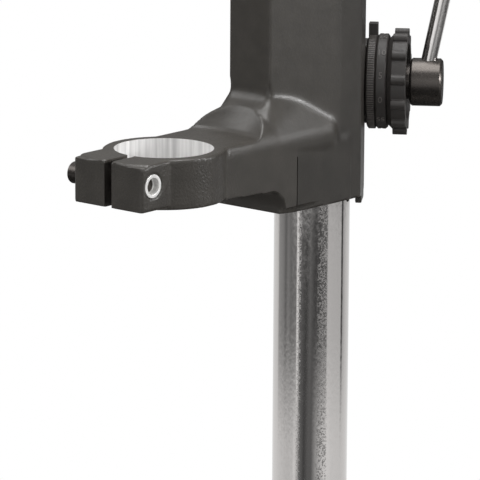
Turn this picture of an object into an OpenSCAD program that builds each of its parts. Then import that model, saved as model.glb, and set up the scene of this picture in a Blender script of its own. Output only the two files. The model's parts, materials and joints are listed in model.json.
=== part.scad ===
// Bench drill stand with a swivelling head, in millimetres.
// Origin: on the bench, under the axis of the column. +Z is up and the arm points to -Y.
// The feed lever turns about an axis that points to +X and 34 degrees to the rear.
// Names that start with head_ lie at a height above or below the top of the clamp collar.

/* [Base] */
// Width of the base plate
base_w = 160; // [150:1:240]
// Reach of the base plate in front of the column axis
base_front = 178; // [165:1:260]
// Reach of the base plate behind the column axis
base_rear = 56; // [54:1:90]
// Height of the painted casting
base_h = 22; // [18:1:30]
// Thickness of its top wall
base_top_wall = 10; // [8:1:14]
// Thickness of its rim
base_rim = 9; // [7:1:12]
// Thickness of the ribs underneath
base_rib = 6; // [4:1:8]
// Radius of the corners of the plate
base_corner_r = 16; // [12:1:24]
// Height of the machined table above the casting
table_h = 2; // [1:0.5:4]
// Width of the machined table
table_w = 128; // [118:1:140]
// Length of the machined table
table_l = 132; // [120:1:140]
// Width of the clamping slots
slot_w = 9; // [8:0.5:12]
// Length of the clamping slots
slot_l = 92; // [60:1:100]
// Distance between the two slots
slot_pitch = 84; // [76:1:96]
// Radius of the hole for the drill to run out
drill_hole_r = 11; // [8:0.5:16]
// Radius of the four bolt holes
bolt_r = 4.5; // [4:0.25:6]
// Distance from a bolt hole to the edges of the plate
bolt_inset = 13; // [12:1:16]

/* [Column] */
// Radius of the column
column_r = 17; // [16:0.25:17.5]
// Length of the column
column_l = 500; // [490:1:640]
// Height of its lower end above the bench
column_z = 8; // [6:1:10]
// Chamfer of its ends
column_chamfer = 2; // [1:0.5:3]

/* [Column socket] */
// Outer radius of the socket
socket_r = 30; // [28:1:34]
// Height of its top above the bench
socket_top = 78; // [70:1:90]
// Height of the flared foot
socket_flare_h = 14; // [8:1:20]
// Width of the flared foot
socket_flare_w = 8; // [4:1:10]
// Width of the clamping slit in the socket and in the clamp ring
slit_w = 3; // [2:0.5:4]
// Reach of the socket ears behind the column axis
socket_ear_y = 48; // [46:1:52]
// Thickness of both socket ears together
socket_ear_w = 30; // [26:1:34]
// Height of the socket ears
socket_ear_h = 26; // [22:1:32]

/* [Clamp collar and arm] */
// Height of the top of the collar above the bench
collar_top_z = 275; // [255:1:285]
// Distance from the column axis to the collar axis
throat = 101.2; // [95:0.1:125]
// Radius of the collar bore
collar_r = 21.5; // [19:0.25:21.5]
// Wall of the collar
collar_wall = 4.95; // [4.5:0.05:7]
// Height of the ears of the collar
collar_h = 20.3; // [18:0.1:24]
// Depth of the collar ring below the ears
ring_drop = 1.4; // [1:0.1:3]
// Step from the top of the collar down to its ears
ear_step = 0.8; // [0.4:0.1:1.2]
// Radius of the arc that edges this step
ear_step_r = 38; // [36:1:42]
// Half width of the ears
ear_half_w = 19.4; // [18:0.1:21]
// Reach of the ears in front of the collar axis
ear_reach = 36.1; // [34:0.1:42]
// Radius of the upright edges of the ears
ear_edge_r = 1.2; // [0.8:0.1:2]
// Width of the slot between the ears
ear_slot_w = 4; // [3:0.5:5]
// Distance from the collar axis to the clamp screw
collar_screw_y = 29; // [28:0.1:32]
// Depth of the clamp screw below the collar top
collar_screw_drop = 9.5; // [9:0.1:12]
// Half width of the arm
arm_half_w = 21; // [20:0.1:22]
// Radius of the rounded top edges of the arm
arm_round_r = 16; // [14:0.1:20]
// Height of the crest of the arm above the collar top
arm_crest = 10.5; // [8:0.1:13]
// Radius of the flat top about the collar axis
flat_r = 41; // [38:0.5:42]
// Radius at which the hollow behind it reaches the crest of the arm
hollow_r = 53; // [51:0.1:55]
// Radius of the fillet where the arm meets the housing
root_ball_r = 8; // [6:0.5:9]
// Depth of the arm below the collar top, at its root
arm_depth = 24; // [22:0.5:27]

/* [Column housing] */
// Height of the housing below the collar top
house_drop = 36; // [34:1:44]
// Height of the housing above the collar top
house_rise = 110; // [100:1:120]
// Half width of the narrow front face
nose_half_w = 11.4; // [10:0.1:14]
// Reach of the front face in front of the column axis
nose_y = 44.3; // [42:0.1:50]
// Half width of the housing
house_half_w = 21.8; // [21.5:0.1:24]
// Wall between the flank's end and the column axis, along the arm
flank_y = 7; // [5:0.5:10]
// Half width of the front at its foot
foot_half_w = 17.6; // [15:0.1:19]
// Length of the chamfered front corner of the foot
foot_corner_l = 7.9; // [6:0.1:10]
// Distance from the column axis to the joint face of the gear case
joint_reach = 20.6; // [20.2:0.1:23]
// Half width of the joint face
joint_half_w = 18; // [17:0.5:20]
// Distance from the column axis to the slanted side face
side_s = 22.15; // [22:0.05:23]
// Reach of the slanted side face behind the column axis
side_reach = 15; // [12:0.5:16]
// Drop of the small lug under the side face
lug_drop = 4; // [3:0.5:6]
// Thickness of the guide bushes
bush_wall = 1.5; // [1:0.25:2]
// Length of each guide bush
bush_l = 32; // [24:1:36]

/* [Feed gear] */
// Turn of the lever axis from the X axis, in degrees
shaft_turn = 34;
// Distance from the column axis to the pinion shaft
shaft_reach = 29; // [28.5:0.1:32]
// Height of the pinion shaft above the collar top
shaft_up = 10.5; // [6:0.1:14]
// Module of the rack and the pinion
gear_module = 1.25; // [1:0.25:1.25]
// Number of teeth of the pinion
pinion_teeth = 15; // [13:1:15]
// Width of the pinion
pinion_w = 14; // [12:0.5:15]
// Radius of the pinion shaft
shaft_r = 6; // [5:0.25:6.5]
// Width of the rack bar
rack_w = 12; // [10:0.5:12.5]
// Thickness of the rack bar behind the tooth roots
rack_back = 6.2; // [5:0.1:7]
// Feed travel
feed_travel = 60; // [50:1:62]
// Half width of the gear case over the pinion
case_half_w = 12; // [11:0.5:13]
// Height of the gear case above the collar top
case_rise = 62; // [56:1:70]
// Thickness of the gear case flange
case_flange = 9; // [8:0.5:11]
// Wall of the gear case behind the rack
case_back = 5; // [4:0.5:7]

/* [Lever group] */
// Start of the index ring, from the column axis
ring_s = 22.6; // [22.5:0.05:23.5]
// Width of the index ring
ring_w = 4.1; // [3.5:0.1:5]
// Outer radius of the index ring
ring_r = 21.3; // [19:0.1:22]
// Height of the pointer above the rim
pointer_h = 5.4; // [4:0.1:7]
// Width of the pointer
pointer_w = 5; // [4:0.5:8]
// Width of the scale drum
drum_w = 5.1; // [4:0.1:7]
// Width of the star nut
star_w = 8.6; // [7:0.1:11]
// Radius over the lobes of the star nut
star_r = 24; // [22:0.1:26]
// Number of lobes
star_lobes = 12; // [8:1:16]
// Turn of the star nut as it rests, in degrees
star_turn = 18; // [0:1:29]
// Start of the lever hub, from the column axis
hub_s = 41.5; // [41.2:0.1:44]
// Length of the lever hub
hub_w = 14.5; // [13:0.1:18]
// Radius of the lever hub
hub_r = 10.8; // [9.5:0.1:12]
// Place of the lever rod along the shaft
rod_s = 47.7; // [47:0.1:49]
// Lean of the lever rod, in degrees
rod_lean = 11.5; // [6:0.5:26]
// Radius of the lever rod
rod_r = 3.5; // [3:0.25:4]
// Distance from the shaft axis to the end of the rod
rod_l = 150; // [110:1:152]
// Radius of the ball knob
knob_r = 15; // [11:0.5:16]

/* [Return spring] */
// Outer radius of the spring cup
cup_r = 20; // [19:0.5:23]
// Depth of the spring cup
cup_w = 15; // [13:0.5:20]
// Wall of the spring cup
cup_wall = 1.6; // [1.2:0.1:2]
// Thickness of the spring strip
strip_t = 0.8; // [0.5:0.1:1]
// Turns of the spring
strip_turns = 4; // [3:1:5]

/* [Height clamp] */
// Height of the clamp ring
clamp_h = 34; // [30:1:40]
// Wall of the clamp ring
clamp_wall = 8; // [6:0.5:10]
// Wall of the split clamp bush
clamp_bush_wall = 2.5; // [2:0.5:3]
// Thickness of the rubber buffer
buffer_h = 3; // [2:0.5:5]
// Length of the clamp lever from its axis
clamp_lever_l = 62; // [50:1:70]
// Thickness of both ears of the clamp ring together
clamp_ear_w = 28; // [24:1:32]
// Reach of the ears of the clamp ring from the column axis
clamp_ear_s = 47; // [44:1:52]

/* [Screws and clearances] */
// Radial clearance of sliding and turning fits
run_gap = 0.04; // [0.02:0.01:0.08]
// Gap between faces that turn or come to rest beside each other
face_gap = 0.3; // [0.2:0.05:0.4]
// Radius of the large clamp screws
big_screw_r = 4; // [3.5:0.25:4.5]
// Radius of the collar clamp screw
mid_screw_r = 3; // [2.5:0.25:3.25]
// Radius of the rack screws
small_screw_r = 2.5; // [2:0.25:2.75]
// Radius of the gear case screws and of the hub end screw
case_screw_r = 2; // [1.5:0.25:2]
// Grip of the gear case screws in the head
case_screw_grip = 5; // [4:0.5:5.5]
// Radius of the spring cup screws
cup_screw_r = 1.5; // [1.25:0.25:2]

/* [Hidden] */
$fn = 96;
// Overrun of cuts past a face
cut = 1;
// Step of the left boss past the flange of the gear case
cup_clear = 2.2;

// Gear sizes
pitch_r = gear_module * pinion_teeth / 2;
tooth_pitch = PI * gear_module;
pressure_angle = 20;
add_share = 0.85;
rack_add_share = 0.8;
root_share = 1.15;
backlash_share = 0.14;
backlash = gear_module * backlash_share;
pinion_tip_r = pitch_r + add_share * gear_module;
pinion_root_r = pitch_r - root_share * gear_module;
base_circle_r = pitch_r * cos(pressure_angle);
rack_pitch_n = shaft_reach + pitch_r;
rack_tip_n = rack_pitch_n - rack_add_share * gear_module;
rack_root_n = rack_pitch_n + root_share * gear_module;
rack_back_n = rack_root_n + rack_back;
chamber_r = pinion_tip_r + face_gap;
case_back_n = rack_back_n + face_gap + case_back;

// Heights
shaft_z = collar_top_z + shaft_up;
house_low_z = collar_top_z - house_drop;
house_top_z = collar_top_z + house_rise;
buffer_top_z = house_top_z + buffer_h;
clamp_low_z = buffer_top_z + face_gap;
clamp_top_z = clamp_low_z + clamp_h;
collar_low_z = collar_top_z - collar_h;
ring_low_z = collar_low_z - ring_drop;
ear_top_z = collar_top_z - ear_step;
collar_screw_z = collar_top_z - collar_screw_drop;
table_z = base_h + table_h;
socket_ear_z = socket_top - socket_ear_h;
socket_screw_z = socket_top - socket_ear_h / 2;
clamp_mid_z = (clamp_low_z + clamp_top_z) / 2;

// Radii and places worked out from the driving sizes
collar_out_r = collar_r + collar_wall;
guide_r = column_r + bush_wall;
clamp_bush_r = column_r + run_gap + clamp_bush_wall;
clamp_in_r = clamp_bush_r + run_gap;
clamp_out_r = clamp_in_r + clamp_wall;
screw_y = throat + collar_screw_y;
base_l = base_front + base_rear;
base_mid_y = (base_rear - base_front) / 2;
bolt_x = base_w / 2 - bolt_inset;
bolt_front_y = bolt_inset - base_front;
bolt_rear_y = base_rear - bolt_inset;
socket_screw_y = (column_r + socket_ear_y) / 2 + socket_ear_h / 8;
arm_round_z = collar_top_z + arm_crest - arm_round_r;
arm_flat_half = arm_half_w - arm_round_r;
arm_root_y = -nose_y + collar_wall;

// Places along the lever shaft
spigot_wall = 3.5;
boss_share = 0.9;
arbor_share = 0.8;
case_boss_s = ring_s - 2 * face_gap;
drum_s = ring_s + ring_w + face_gap / 3;
star_s = drum_s + drum_w;
star_end_s = star_s + star_w;
spigot_r = shaft_r + spigot_wall;
shaft_bush_r = shaft_r + run_gap + bush_wall;
boss_r = ring_r * boss_share;
hub_end_s = hub_s + hub_w;
hub_screw_s = hub_end_s - 2 * case_screw_r - face_gap / 3;
shaft_end_s = hub_screw_s - bush_wall - face_gap;
case_left_s = -joint_half_w - cup_clear;
cup_end_s = case_left_s - cup_w;
spring_arbor_r = shaft_r * arbor_share;

// Frame of the lever axis: +Z runs along the shaft, +Y away from the column, +X down
module on_shaft(s = 0) {
    rotate([0, 0, shaft_turn]) translate([s, shaft_reach, shaft_z]) rotate([0, 90, 0]) children();
}

// Plan frame turned to the lever axis: +X runs along the shaft, +Y away from the column
module turned(z = 0) {
    rotate([0, 0, shaft_turn]) translate([0, 0, z]) children();
}

// Place of a point given along the shaft and away from the column, in plan
function at(s, n) = [s * cos(shaft_turn) - n * sin(shaft_turn),
                     s * sin(shaft_turn) + n * cos(shaft_turn)];

// Upright rod between two heights
module rod(r, low, high) {
    translate([0, 0, low]) cylinder(r = r, h = high - low);
}

// Tube between two heights
module tube(outer, inner, low, high) {
    difference() {
        rod(outer, low, high);
        rod(inner, low - cut, high + cut);
    }
}

// Rod along X between two places
module cross_rod(r, left, right) {
    translate([left, 0, 0]) rotate([0, 90, 0]) cylinder(r = r, h = right - left);
}

// Rod with chamfered ends
module chamfered_rod(r, low, high, c) {
    rotate_extrude() polygon([[0, low], [r - c, low], [r, low + c], [r, high - c], [r - c, high], [0, high]]);
}

// Rectangle with rounded corners, in plan
module rounded_plan(w, l, r) {
    square([w - 2 * r, l], center = true);
    square([w, l - 2 * r], center = true);
    for (x = [-1, 1], y = [-1, 1]) translate([x * (w / 2 - r), y * (l / 2 - r)]) circle(r = r);
}

// Slab with rounded corners
module slab(w, l, h, r) {
    linear_extrude(h) rounded_plan(w, l, r);
}

// Shares of a cap screw's radius: its head, and the hexagon in it
screw_head_share = 1.6;
hexagon_share = 0.9;

// Socket head cap screw along +Z, with its seat at zero and its head above
module cap_screw(r, length) {
    head_h = r * 2;
    difference() {
        union() {
            translate([0, 0, -length]) cylinder(r = r, h = length);
            cylinder(r = r * screw_head_share, h = head_h);
        }
        translate([0, 0, head_h / 2]) cylinder(r = r * hexagon_share, h = head_h, $fn = 6);
    }
}

// Base casting
rib_count_x = 2;
rib_count_y = 4;
inner_w = base_w - 2 * base_rim;
inner_l = base_l - 2 * base_rim;
cell_w = (inner_w - rib_count_x * base_rib) / (rib_count_x + 1);
cell_l = (inner_l - rib_count_y * base_rib) / (rib_count_y + 1);
cell_h = base_h - base_top_wall;

// Hollow underside between the ribs, in plan
module base_cells() {
    difference() {
        for (i = [0:rib_count_x], j = [0:rib_count_y])
            translate([-inner_w / 2 + i * (cell_w + base_rib), base_mid_y - inner_l / 2 + j * (cell_l + base_rib)])
                square([cell_w, cell_l]);
        circle(r = socket_r);
        bolt_places() circle(r = bolt_inset);
        translate([0, -throat]) circle(r = drill_hole_r + base_rib);
        for (x = [-1, 1]) translate([x * slot_pitch / 2, -throat])
            square([slot_w + 2 * base_rib, slot_l + 2 * base_rib], center = true);
    }
}

module bolt_places() {
    for (x = [-bolt_x, bolt_x], y = [bolt_front_y, bolt_rear_y]) translate([x, y, 0]) children();
}

// Straight slot with round ends, cut through the plate
module clamping_slot() {
    translate([-slot_w / 2, slot_w / 2 - slot_l / 2, -cut]) cube([slot_w, slot_l - slot_w, table_z + 2 * cut]);
    for (y = [-1, 1]) translate([0, y * (slot_l - slot_w) / 2, 0]) rod(slot_w / 2, -cut, table_z + cut);
}

module base_plate() {
    color("dimgray") difference() {
        union() {
            translate([0, base_mid_y, 0]) slab(base_w, base_l, base_h, base_corner_r);
            translate([0, -throat, 0]) slab(table_w, table_l, table_z, base_corner_r / 2);
            rod(socket_r, 0, socket_top);
            translate([0, 0, base_h])
                cylinder(r1 = socket_r + socket_flare_w, r2 = socket_r, h = socket_flare_h);
            translate([-socket_ear_w / 2, column_r + bush_wall, socket_ear_z])
                cube([socket_ear_w, socket_ear_y - column_r - bush_wall, socket_ear_h]);
        }
        translate([0, 0, -cut]) linear_extrude(cell_h + cut) base_cells();
        rod(column_r + run_gap, column_z, socket_top + cut);
        rod(column_r / 2, -cut, column_z + cut);
        translate([-slit_w / 2, 0, socket_ear_z - socket_flare_h])
            cube([slit_w, socket_ear_y + cut, socket_ear_h + socket_flare_h + cut]);
        translate([0, socket_screw_y, socket_screw_z]) cross_rod(big_screw_r + run_gap, -socket_ear_w, socket_ear_w);
        bolt_places() rod(bolt_r, -cut, table_z);
        translate([0, -throat, 0]) rod(drill_hole_r, -cut, table_z + cut);
        for (x = [-1, 1]) translate([x * slot_pitch / 2, -throat, 0]) clamping_slot();
    }
}

module base_clamp_screw() {
    color("black") translate([socket_ear_w / 2, socket_screw_y, socket_screw_z])
        rotate([0, 90, 0]) cap_screw(big_screw_r, socket_ear_w - face_gap);
}

module column() {
    color("silver") difference() {
        chamfered_rod(column_r, column_z, column_z + column_l, column_chamfer);
        translate([0, 0, column_z + column_l - column_chamfer])
            cylinder(r1 = column_chamfer / 2, r2 = 2 * column_chamfer, h = column_chamfer + cut);
    }
}

// Height clamp
module clamp_bush() {
    color("tan") difference() {
        tube(clamp_bush_r, column_r + run_gap, clamp_low_z, clamp_top_z);
        turned(clamp_low_z - cut) translate([-clamp_in_r - cut, -slit_w / 2, 0])
            cube([clamp_in_r + cut, slit_w, clamp_h + 2 * cut]);
    }
}

clamp_face_n = rack_root_n;
clamp_screw_s = -(clamp_out_r + clamp_ear_s) / 2 + clamp_bush_wall;
rack_screw_rise = clamp_h / 4;
seat_share = 0.8;
seat_w = 2 * joint_half_w * seat_share;

module clamp_ring() {
    color("dimgray") difference() {
        union() {
            rod(clamp_out_r, clamp_low_z, clamp_top_z);
            turned(clamp_low_z) {
                translate([-seat_w / 2, 0, 0]) cube([seat_w, clamp_face_n, clamp_h]);
                translate([-clamp_ear_s, -clamp_ear_w / 2, clamp_h / 8])
                    cube([clamp_ear_s, clamp_ear_w, clamp_h * 3 / 4]);
            }
        }
        rod(clamp_in_r, clamp_low_z - cut, clamp_top_z + cut);
        turned(clamp_low_z - cut) translate([-clamp_ear_s - cut, -slit_w / 2, 0])
            cube([clamp_ear_s + cut, slit_w, clamp_h + 2 * cut]);
        turned(clamp_mid_z) translate([clamp_screw_s, 0, 0]) rotate([90, 0, 0])
            cylinder(r = big_screw_r + run_gap, h = 2 * clamp_ear_w, center = true);
        turned(clamp_mid_z) for (z = [-rack_screw_rise, rack_screw_rise])
            translate([0, clamp_face_n + cut, z]) rotate([90, 0, 0])
                cylinder(r = small_screw_r, h = clamp_wall + cut);
    }
}

rack_low_z = shaft_z - feed_travel - 2 * tooth_pitch;
rack_teeth_top_z = shaft_z + 2.5 * tooth_pitch;
flank_slope = tan(pressure_angle);
half_tooth = tooth_pitch / 4 - backlash / 4;

// One rack tooth, with its root on the Y axis and its tip towards the column
module rack_tooth() {
    root_half = half_tooth + root_share * gear_module * flank_slope;
    tip_half = half_tooth - rack_add_share * gear_module * flank_slope;
    polygon([[rack_root_n + gear_module / 5, -root_half], [rack_root_n, -root_half], [rack_tip_n, -tip_half],
             [rack_tip_n, tip_half], [rack_root_n, root_half], [rack_root_n + gear_module / 5, root_half]]);
}

rack_teeth_down = floor((shaft_z - rack_low_z) / tooth_pitch);
rack_teeth_up = floor((rack_teeth_top_z - shaft_z) / tooth_pitch);

module rack_bar() {
    color("lightsteelblue") difference() {
        turned() translate([rack_w / 2, 0, 0]) rotate([0, -90, 0]) linear_extrude(rack_w) union() {
            translate([rack_low_z, rack_root_n]) square([clamp_top_z - rack_low_z, rack_back]);
            for (i = [-rack_teeth_down:rack_teeth_up - 1]) translate([shaft_z + (i + 0.5) * tooth_pitch, 0])
                rotate(90) mirror([0, 1]) rack_tooth();
        }
        turned(clamp_mid_z) for (z = [-rack_screw_rise, rack_screw_rise])
            translate([0, rack_back_n + cut, z]) rotate([90, 0, 0])
                cylinder(r = small_screw_r + run_gap, h = rack_back + 2 * cut);
    }
}

module rack_screws() {
    color("black") turned(clamp_mid_z) for (z = [-rack_screw_rise, rack_screw_rise])
        translate([0, rack_back_n, z]) rotate([-90, 0, 0]) cap_screw(small_screw_r, rack_back + clamp_wall - cut);
}

clamp_head_l = 4 * big_screw_r;
clamp_hub_r = 2 * big_screw_r;

// Frame of the clamp lever: +Z towards the front along the screw, +Y away from the column
module on_clamp_screw() {
    turned(clamp_mid_z) translate([clamp_screw_s, -clamp_ear_w / 2, 0]) rotate([90, 0, 0]) children();
}

module clamp_lever_stud() {
    color("silver") on_clamp_screw() difference() {
        union() {
            translate([0, 0, -clamp_ear_w - face_gap]) cylinder(r = big_screw_r, h = clamp_ear_w + 2 * face_gap);
            translate([0, 0, face_gap]) cylinder(r = clamp_hub_r, h = clamp_head_l - clamp_hub_r / 4);
            translate([0, 0, face_gap + clamp_head_l - clamp_hub_r / 4])
                cylinder(r1 = clamp_hub_r, r2 = clamp_hub_r * 3 / 4, h = clamp_hub_r / 4);
        }
        translate([0, 0, clamp_head_l / 2]) rotate([0, -90, 0]) cylinder(r = rod_r, h = clamp_hub_r + cut);
    }
}

module clamp_lever_rod() {
    color("silver") on_clamp_screw() translate([0, 0, clamp_head_l / 2]) rotate([0, -90, 0])
        cylinder(r = rod_r, h = clamp_lever_l);
}

small_knob_share = 0.7;
clamp_knob_r = knob_r * small_knob_share;

module clamp_lever_knob() {
    color("black") on_clamp_screw() translate([0, 0, clamp_head_l / 2]) rotate([0, -90, 0]) difference() {
        translate([0, 0, clamp_lever_l + clamp_knob_r / 3]) sphere(r = clamp_knob_r);
        translate([0, 0, clamp_lever_l - clamp_knob_r]) cylinder(r = rod_r, h = clamp_knob_r);
    }
}

// Head casting: housing
house_outline = [[-nose_half_w, -nose_y], [nose_half_w, -nose_y],
    [arm_half_w, -flank_y], [house_half_w, (side_s - house_half_w * cos(shaft_turn)) / sin(shaft_turn)],
    at(side_s, side_reach), at(joint_half_w, joint_reach), at(-joint_half_w, joint_reach),
    [-house_half_w, 0], [-arm_half_w, -flank_y]];
foot_corner = [arm_half_w - ear_step, -nose_y + foot_corner_l];
foot_outline = [[-foot_half_w, -nose_y], [foot_half_w, -nose_y], foot_corner,
    [house_half_w, 0], [-house_half_w, 0], [-foot_corner[0], foot_corner[1]]];
foot_top_drop = 6.8;
foot_top_z = collar_top_z - foot_top_drop;

// Hollow behind the flat top, turned about the collar axis: shares of its reach and of its rise
hollow_shares = [[0, 0], [0.22, 0.01], [0.32, 0.05], [0.4, 0.12], [0.46, 0.22], [0.53, 0.33], [0.61, 0.46],
    [0.7, 0.64], [0.78, 0.82], [0.87, 0.99], [1, 1.2], [1.1, 1.9]];
hollow_line = [for (p = hollow_shares) [flat_r + p[0] * (hollow_r - flat_r), p[1] * arm_crest]];
hollow_end = hollow_line[len(hollow_line) - 1];

module hollow() {
    translate([0, -throat, collar_top_z]) rotate_extrude()
        polygon(concat([[0, 0]], hollow_line, [[hollow_end[0], 4 * arm_crest], [0, 4 * arm_crest]]));
}

// Fillet at the root of the arm: a ball rolled between its top and the front of the housing
flank_run = arm_half_w - nose_half_w;
flank_rise = nose_y - flank_y;
flank_l = norm([flank_run, flank_rise]);
flank_out = [flank_rise / flank_l, -flank_run / flank_l];
ball_reach = arm_round_r + root_ball_r;
root_steps = 9;
root_span = 74;
arc_steps = 6;
sink = 0.05;
root_depth = 1.5;
root_inside = 0.8;

// Depth of the ball's centre, at a place across the arm
function ball_y(x) = abs(x) <= nose_half_w ? -nose_y - root_ball_r
    : abs(x) <= nose_half_w + root_ball_r * flank_out[0]
        ? -nose_y - sqrt(pow(root_ball_r, 2) - pow(abs(x) - nose_half_w, 2))
    : -nose_y + root_ball_r * flank_out[1]
        + (abs(x) - nose_half_w - root_ball_r * flank_out[0]) * flank_rise / flank_run;
// Way from the ball's centre to the housing
function ball_to_house(x) = abs(x) <= nose_half_w ? [0, 1, 0]
    : abs(x) <= nose_half_w + root_ball_r * flank_out[0]
        ? [sign(x) * (nose_half_w - abs(x)), -nose_y - ball_y(x), 0] / root_ball_r
    : [-sign(x) * flank_out[0], -flank_out[1], 0];
// Points of the fillet at one angle round the arm, with the last one inside the metal
function root_section(side, a) = let (
    x = side * (arm_flat_half + ball_reach * sin(abs(a))),
    centre = [x, ball_y(x), arm_round_z + ball_reach * cos(a)],
    down = [-sin(a), 0, -cos(a)],
    back = ball_to_house(x),
    open = acos(down * back),
    on_arm = centre + root_ball_r * down,
    on_house = centre + root_ball_r * back)
    concat([for (i = [0:arc_steps]) let (t = i / arc_steps,
            way = (sin((1 - t) * open) * down + sin(t * open) * back) / sin(open),
            deep = (i == 0 || i == arc_steps) ? root_ball_r + sink : root_ball_r)
        centre + deep * way],
        [[root_inside * on_arm[0], on_house[1] + root_depth, on_arm[2] - root_depth]]);
section_n = arc_steps + 2;
root_points = concat([for (k = [root_steps:-1:0]) each root_section(-1, -root_span * k / root_steps)],
    [for (k = [0:root_steps]) each root_section(1, root_span * k / root_steps)]);
root_last = 2 * root_steps + 1;
root_end = root_last * section_n;
root_faces = concat([for (i = [0:arc_steps - 1]) [i, i + 1, section_n - 1]],
    [for (i = [0:arc_steps - 1]) [root_end + i + 1, root_end + i, root_end + section_n - 1]],
    [for (k = [0:root_last - 1], i = [0:section_n - 1])
        let (a = k * section_n + i, b = k * section_n + (i + 1) % section_n)
        each [[a, a + section_n, b], [b, a + section_n, b + section_n]]]);

module root_fillet() {
    polyhedron(root_points, root_faces, convexity = 4);
}

// Side view of the arm as points along Y and Z, with the fillet under its root
root_fillet_r = 9;
fillet_steps = 6;
function fillet_line(r) = [for (i = [0:fillet_steps]) let (a = 90 * i / fillet_steps)
    [-nose_y - r + r * sin(a), collar_top_z - arm_depth - r + r * cos(a)]];
arm_side = concat([[-throat, ring_low_z]], fillet_line(root_fillet_r),
    [[0, collar_top_z - arm_depth - root_fillet_r], [0, collar_top_z + arm_crest + cut],
     [-throat, collar_top_z + arm_crest + cut]]);

module arm_beam() {
    intersection() {
        rotate([90, 0, 0]) linear_extrude(throat) union() {
            for (x = [-1, 1]) translate([x * arm_flat_half, arm_round_z]) circle(r = arm_round_r);
            translate([-arm_flat_half, arm_round_z]) square([2 * arm_flat_half, arm_round_r]);
            translate([-arm_half_w, house_low_z]) square([2 * arm_half_w, arm_round_z - house_low_z]);
        }
        translate([arm_half_w + cut, 0, 0]) rotate([0, -90, 0]) linear_extrude(2 * (arm_half_w + cut))
            polygon([for (p = arm_side) [p[1], p[0]]]);
    }
}

// Ring and ears of the clamp collar, up to the given height
module collar_body(top) {
    translate([0, -throat, 0]) {
        rod(collar_out_r, ring_low_z, top);
        for (x = [-1, 1]) {
            mid = (ear_half_w + ear_slot_w / 2) / 2;
            width = ear_half_w - ear_slot_w / 2;
            translate([x * mid, -ear_reach / 2, collar_low_z]) slab(width, ear_reach, top - collar_low_z, ear_edge_r);
        }
    }
}

module collar_and_arm() {
    collar_body(ear_top_z);
    intersection() {
        collar_body(collar_top_z);
        translate([0, collar_r - throat - (ear_step_r - ear_reach / 2), 0])
            rod(ear_step_r, ring_low_z, collar_top_z);
    }
    difference() {
        union() {
            arm_beam();
            root_fillet();
        }
        hollow();
    }
}

module head_casting() {
    color("dimgray") difference() {
        union() {
            translate([0, 0, house_low_z]) linear_extrude(house_rise + house_drop) polygon(house_outline);
            translate([0, 0, house_low_z]) linear_extrude(foot_top_z - house_low_z) polygon(foot_outline);
            collar_and_arm();
            turned(house_low_z - lug_drop) translate([guide_r + bush_wall / 2, 0, 0])
                cube([side_s - guide_r - bush_wall / 2, side_reach - bush_wall, lug_drop + cut]);
        }
        translate([0, -throat, 0]) rod(collar_r, ring_low_z - cut, collar_top_z + arm_crest);
        translate([-ear_slot_w / 2, -throat - ear_reach - cut, ring_low_z - cut])
            cube([ear_slot_w, ear_reach + cut, collar_h + ring_drop + 2 * cut]);
        translate([0, -screw_y, collar_screw_z]) {
            cross_rod(mid_screw_r + run_gap, -ear_half_w - cut, ear_half_w + cut);
            cross_rod(insert_r, ear_half_w - insert_l, ear_half_w + cut);
        }
        rod(guide_r, house_low_z - lug_drop - cut, house_top_z + cut);
        on_shaft() cylinder(r = chamber_r, h = 2 * case_chamber_half, center = true);
        case_screw_places(joint_reach - case_screw_grip, case_screw_grip + cut, case_screw_r);
        on_shaft() cylinder(r = spigot_r + run_gap, h = ring_s);
    }
}

insert_r = 5.1;
insert_l = 12;
insert_hole_r = 3.6;

module collar_screw_insert() {
    color("silver") translate([0, -screw_y, collar_screw_z]) difference() {
        cross_rod(insert_r, ear_half_w - insert_l, ear_half_w);
        cross_rod(mid_screw_r + run_gap, 0, ear_half_w + cut);
        translate([ear_half_w - mid_screw_r, 0, 0]) rotate([0, 90, 0])
            cylinder(r = insert_hole_r, h = mid_screw_r + cut);
    }
}

module collar_clamp_screw() {
    color("black") translate([-ear_half_w, -screw_y, collar_screw_z]) rotate([0, -90, 0])
        cap_screw(mid_screw_r, 2 * ear_half_w - mid_screw_r);
}

module upper_guide_bush() {
    color("goldenrod") tube(guide_r, column_r + run_gap, house_top_z - bush_l, house_top_z);
}

module lower_guide_bush() {
    color("goldenrod") tube(guide_r, column_r + run_gap, house_low_z, house_low_z + bush_l);
}

module rubber_buffer() {
    color("black") tube(house_half_w - bush_wall / 2, guide_r, house_top_z, buffer_top_z);
}

// Gear case
case_chamber_half = pinion_w / 2 + face_gap;
rack_channel_half = rack_w / 2 + face_gap;
case_screw_s = joint_half_w - screw_head_share * case_screw_r - 2 * face_gap;
case_h = case_rise + house_drop;
neck_share = 0.6;
case_neck_half = rack_channel_half + case_back * neck_share;
case_neck_n = rack_pitch_n - 2 * gear_module;
case_screw_inset = 2 * screw_head_share * case_screw_r;
case_screw_low = house_low_z + case_screw_inset;
case_screw_high = collar_top_z + case_rise - case_screw_inset;

// Holes or shanks for the case screws, from a place away from the column, along it
module case_screw_places(n, length, r) {
    turned() for (s = [-case_screw_s, case_screw_s], z = [case_screw_low, case_screw_high])
        translate([s, n, z]) rotate([-90, 0, 0]) cylinder(r = r, h = length);
}

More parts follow.
